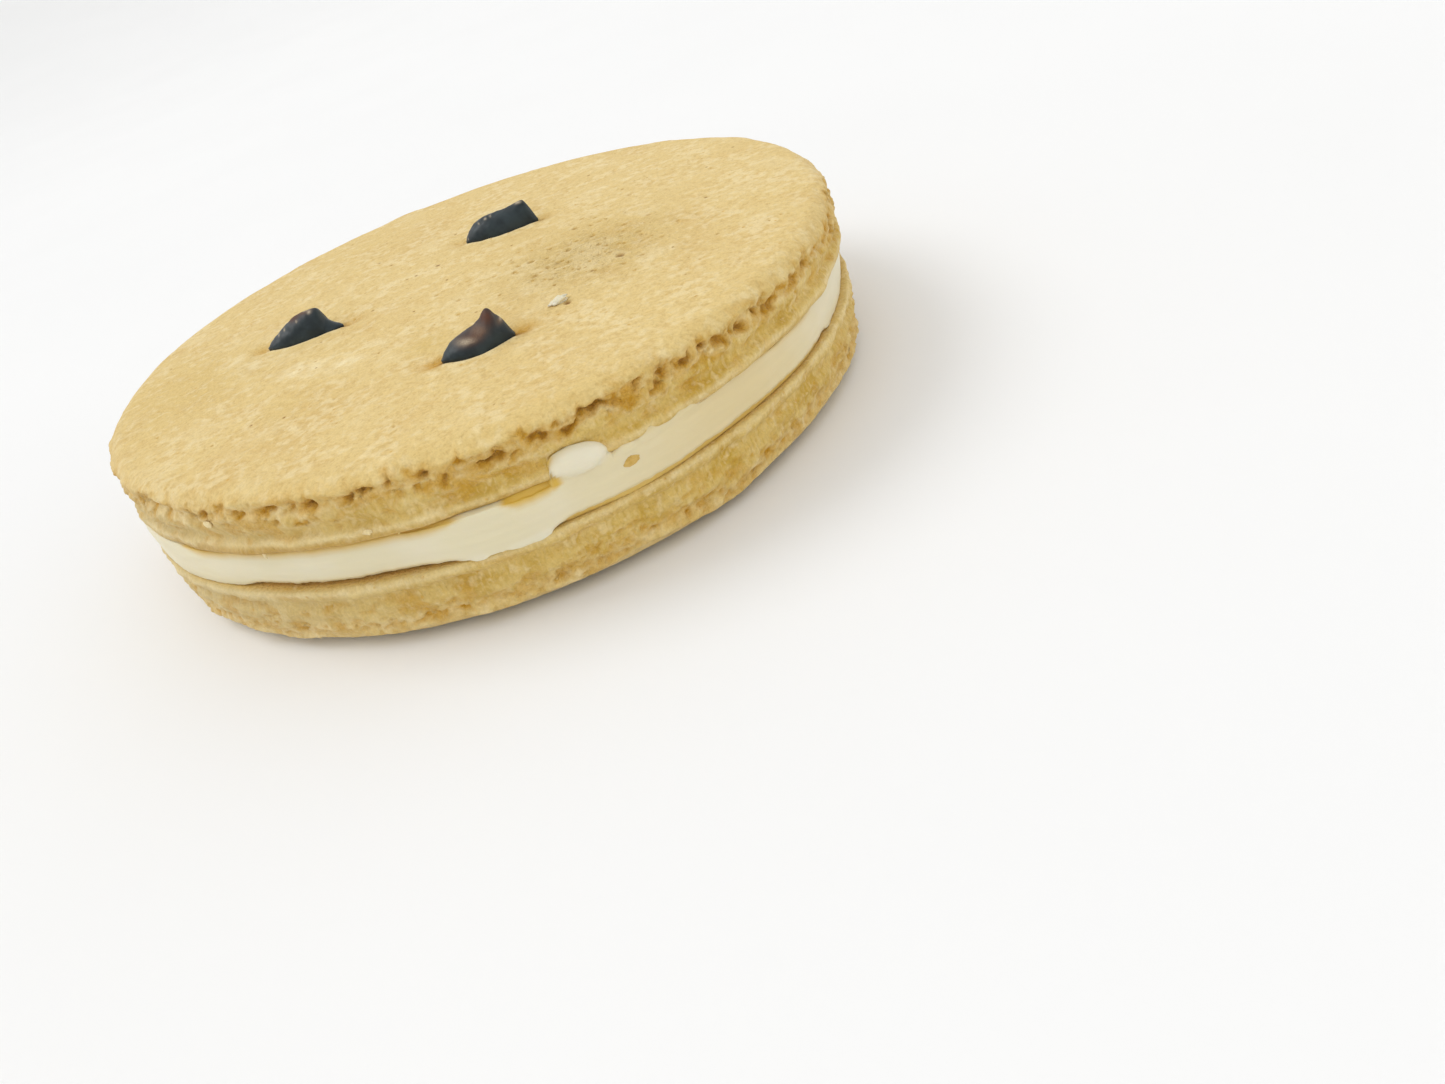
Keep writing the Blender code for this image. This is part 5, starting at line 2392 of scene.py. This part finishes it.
@dataclass
class Crumbs:
    """The loose crumbs that stick to the cream, the lips and the face."""

    upper: Biscuit
    cream: CreamLayer
    stuck: Crumb = Crumb(
        wall_place(-81.1, BISCUIT_RADIUS, 8.8 * MM),
        (0.34 * MM, 0.78 * MM, 0.42 * MM),
        (6.0, 0.0, -81.1),
        torn=0.42,
        lumpy=0.5,
        rows=20,
    )
    stuck_deep: float = 0.12 * MM
    seed: int = 5
    count: int = 26
    half_circle: float = 180.0
    clear: Pair = (-99.0, -82.0)
    levels: Pair = (LOWER_THICKNESS - 0.1 * MM, UPPER_BASE + 0.15 * MM)
    level_spread: float = 0.25 * MM
    sizes: Pair = (0.06 * MM, 0.12 * MM)
    stretch: Pair = (1.0, 1.8)
    radii: Pair = (34.8 * MM, 35.0 * MM)
    pale: Pair = (0.0, 0.45)
    torn: Pair = (0.0, 0.3)
    flake: Crumb = Crumb(
        Vector((6.2 * MM, -17.25 * MM, UPPER_BASE + 0.16 * MM)),
        (0.80 * MM, 0.42 * MM, 0.30 * MM),
        (8.0, -6.0, 14.0),
        pale=0.15,
        lumpy=1.6,
        rows=14,
    )
    flake_seed: float = 2.0

    def stuck_crumb(self) -> Crumb:
        """The large crumb that is stuck in the cream's edge."""
        degrees = self.stuck.turns[2]
        radius = self.cream.reach(math.radians(degrees)) - self.stuck_deep
        return replace(self.stuck, place=wall_place(degrees, radius, self.stuck.place.z))

    def scattered(self) -> list[Crumb]:
        """Scatters small crumbs here and there along both lips.

        Returns:
            The crumbs.
        """
        chance = random.Random(self.seed)
        made = []
        for _ in range(self.count):
            degrees = chance.uniform(-self.half_circle, self.half_circle)
            level = chance.choice(self.levels)
            size = chance.uniform(*self.sizes)
            radius = chance.uniform(*self.radii)
            level += chance.uniform(-self.level_spread, self.level_spread)
            half_size = (size, size * chance.uniform(*self.stretch), size)
            pale = chance.uniform(*self.pale)
            torn = chance.uniform(*self.torn)
            if not self.clear[0] < degrees < self.clear[1]:
                place = wall_place(degrees, radius, level)
                made.append(Crumb(place, half_size, (0.0, 0.0, degrees), pale, torn))
        return made

    def build(self, finish: bpy.types.Material, flake_finish: bpy.types.Material) -> None:
        """Builds all the crumbs as one piece, and the white flake on the face.

        Args:
            finish: the crumbs' material.
            flake_finish: the flake's material.
        """
        skin = Skin()
        for index, crumb in enumerate([self.stuck_crumb(), *WALL_CRUMBS, *self.scattered()]):
            crumb.add_to(skin, float(index))
        settle(skin.make("stuck_crumbs", finish, Matrix.Identity(4)), Slot.UPPER_CRUST)
        lift = Vector((0.0, 0.0, self.upper.face_height(*self.flake.place.xy)))
        flake = Skin()
        replace(self.flake, place=self.flake.place + lift).add_to(flake, self.flake_seed)
        settle(flake.make("face_flake", flake_finish, Matrix.Identity(4)), Slot.CREAM)


@dataclass(frozen=True)
class Lamp:
    """A soft lamp that lights the studio evenly: where it shines from, strength and spread in degrees."""

    name: str
    source: Triple
    strength: float
    spread: float
    colour: Colour = (1.0, 1.0, 1.0)


@dataclass
class Studio:
    """The pale floor, the soft lamps and the camera."""

    image: tuple[int, int] = (1445, 1084)
    focal_pixels: float = 1045.0
    subject_pixel: Pair = (498.0, 353.3)
    subject_height: float = 7.0 * MM
    distance: float = 107.07 * MM
    elevation: float = 20.32
    roll: float = 24.71
    sensor: float = 36.0
    nearest: float = MM
    furthest: float = 10.0
    floor_line: tuple[Pair, ...] = (
        (0.45, 0.0),
        (0.65, 0.010),
        (0.85, 0.045),
        (1.05, 0.12),
        (1.22, 0.25),
        (1.35, 0.42),
        (1.42, 0.62),
        (1.45, 0.80),
    )
    floor_drop: float = 0.02 * MM
    floor_points: int = 96
    sky: Colour = (1.0, 1.0, 1.0)
    sky_strength: float = 0.86
    lamps: tuple[Lamp, ...] = (
        Lamp("key_lamp", (-0.55, 0.35, 0.75), 0.85, 32.0),
        Lamp("fill_lamp", (-0.10, -0.70, 0.60), 0.12, 50.0, (0.97, 0.99, 1.0)),
    )

    def add_camera(self) -> None:
        """Sets up the camera at the viewing angle: the subject's middle lies at its pixel."""
        width, height = self.image
        across, down = self.subject_pixel
        pixel = Vector((across - width / 2.0, height / 2.0 - down, -self.focal_pixels))
        ray = (pixel / self.focal_pixels).normalized()
        back = -ray
        right = Vector((0.0, 1.0, 0.0)).cross(back).normalized()
        up = back.cross(right)
        roll = math.radians(self.roll)
        level_right = right * math.cos(roll) + up * math.sin(roll)
        level_up = up * math.cos(roll) - right * math.sin(roll)
        tilt = math.radians(self.elevation)
        world_y = level_up * math.sin(tilt) - back * math.cos(tilt)
        world_z = level_up * math.cos(tilt) + back * math.sin(tilt)
        turned = Matrix((level_right, world_y, world_z))
        place = Vector((0.0, 0.0, self.subject_height)) - turned @ (ray * self.distance)
        camera = bpy.data.objects.new("photo_camera", bpy.data.cameras.new("photo_camera"))
        camera.data.sensor_width = self.sensor
        camera.data.lens = self.focal_pixels / width * self.sensor
        camera.data.clip_start = self.nearest
        camera.data.clip_end = self.furthest
        camera.matrix_world = Matrix.Translation(place) @ turned.to_4x4()
        bpy.context.scene.collection.objects.link(camera)
        bpy.context.scene.camera = camera

    def add_lamps(self) -> None:
        """Sets up the lamps, all aimed at the cookie, and the even light of the room."""
        for lamp in self.lamps:
            light = bpy.data.lights.new(lamp.name, "SUN")
            light.energy = lamp.strength
            light.angle = math.radians(lamp.spread)
            light.color = lamp.colour
            holder = bpy.data.objects.new(lamp.name, light)
            holder.location = lamp.source
            holder.rotation_euler = (-holder.location).to_track_quat("-Z", "Y").to_euler()
            bpy.context.scene.collection.objects.link(holder)
        world = bpy.data.worlds.new("studio_room")
        world.use_nodes = True
        background = world.node_tree.nodes["Background"]
        background.inputs["Color"].default_value = (*self.sky, 1.0)
        background.inputs["Strength"].default_value = self.sky_strength
        bpy.context.scene.world = world

    def add_floor(self) -> None:
        """Lays the floor just under the cookie, which sweeps up far away so that no horizon shows."""
        count = self.floor_points
        places = [Vector((0.0, 0.0, -self.floor_drop))]
        for radius, height in self.floor_line:
            places.extend(polar(radius, angle, height - self.floor_drop) for angle in ring_angles(count))
        faces = [(0, 1 + i, 1 + (i + 1) % count) for i in range(count)]
        for ring in range(len(self.floor_line) - 1):
            low = 1 + ring * count
            for i in range(count):
                j = (i + 1) % count
                faces.append((low + i, low + count + i, low + count + j, low + j))
        mesh = bpy.data.meshes.new("studio_floor")
        mesh.from_pydata(places, [], faces)
        mesh.shade_smooth()
        mesh.materials.append(FloorFinish().make())
        floor = bpy.data.objects.new("studio_floor", mesh)
        bpy.context.scene.collection.objects.link(floor)

    def build(self) -> None:
        """Sets up the whole studio, with plain colours and no film look."""
        bpy.context.scene.view_settings.view_transform = "Standard"
        self.add_camera()
        self.add_lamps()
        self.add_floor()


# Darker golden places, some browning and some painted shade, and smudges of flour on the upper face. Lengths
# are in millimetres here.
TOAST_AND_SHADE, FLOURED = [
    tuple(Patch(x * MM, y * MM, spread * MM, strength) for x, y, spread, strength in places)
    for places in (
        (
            # Painted shade where the light falls off over the face's left part.
            (-27.0, 0.0, 9.0, 0.50),
            (-12.0, 24.0, 10.0, 0.20),
            # Partly painted shadow over the porous patch, partly browning.
            (12.0, -7.0, 7.0, 0.45),
            (-16.5, -14.5, 2.8, 0.30),
            # Painted shade at the left foot of the front chip.
            (-4.8, -14.4, 1.7, 0.70),
        ),
        (
            (-16.4, -7.4, 1.3, 0.85),
            (-14.7, -9.2, 1.3, 0.75),
            (-12.2, -10.8, 1.4, 0.85),
            (-10.9, -11.2, 0.8, 0.70),
            (-22.6, 2.2, 1.4, 0.60),
            (-20.6, -0.6, 1.6, 0.55),
            (-18.3, -1.6, 1.3, 0.45),
            (-22.5, 8.6, 2.2, 0.35),
        ),
    )
]


def main() -> None:
    """Builds the cookie piece by piece, then the studio."""
    logging.basicConfig(level=logging.INFO, format="%(name)s: %(message)s")
    upper = Biscuit(
        node="upper_biscuit",
        slot=Slot.UPPER_CRUST,
        thickness=UPPER_THICKNESS,
        flat_radius=0.0,
        seed=UPPER_SEED,
        place=Matrix.Translation((0.0, 0.0, UPPER_BASE)),
        crag=1.35 * MM,
        free_tears=(-67.5, 213.0),
        tear_scale=1.0,
        tears=FRONT_TEARS,
        pits=FACE_PITS,
        chips=CHIPS,
        porous=Patch(10.5 * MM, -8.5 * MM, 6.9 * MM),
        toast_and_shade=TOAST_AND_SHADE,
        floured=FLOURED,
        grey_shade=(Swell(-153.0, 33.0, 0.8), Swell(62.0, 24.0, 0.8)),
        lip_highlight=(0.47 * MM, 0.26 * MM),
        lip_rises=(
            Swell(-130.0, 24.0, 0.42 * MM),
            Swell(55.0, 32.0, 0.40 * MM),
            Swell(172.0, 20.0, 0.35 * MM),
        ),
        lip_shade=0.90,
    )
    lower = Biscuit(
        node="lower_biscuit",
        slot=Slot.LOWER_CRUST,
        thickness=LOWER_THICKNESS,
        flat_radius=REST_RADIUS,
        seed=LOWER_SEED,
        place=Matrix.Translation((0.0, 0.0, LOWER_THICKNESS)) @ Matrix.Rotation(math.pi, 4, "X"),
        crag=0.50 * MM,
        free_tears=(0.0, 358.0),
        tear_scale=0.75,
        grey_shade=(Swell(148.0, 34.0, 0.8), Swell(-62.0, 24.0, 0.8)),
    )
    crust = CrustFinish("upper_crust_baked").make()
    lower.build(CrustFinish("lower_crust_baked").make())
    cream = CreamLayer(upper, lower)
    ivory = CreamFinish().make()
    cream.build(ivory)
    upper.build(crust)
    chocolate = ChocolateFinish().make()
    for chip in CHIPS:
        chip.build(chocolate, upper.face_height)
    Crumbs(upper, cream).build(crust, ivory)
    Studio().build()


if __name__ == "__main__":
    main()
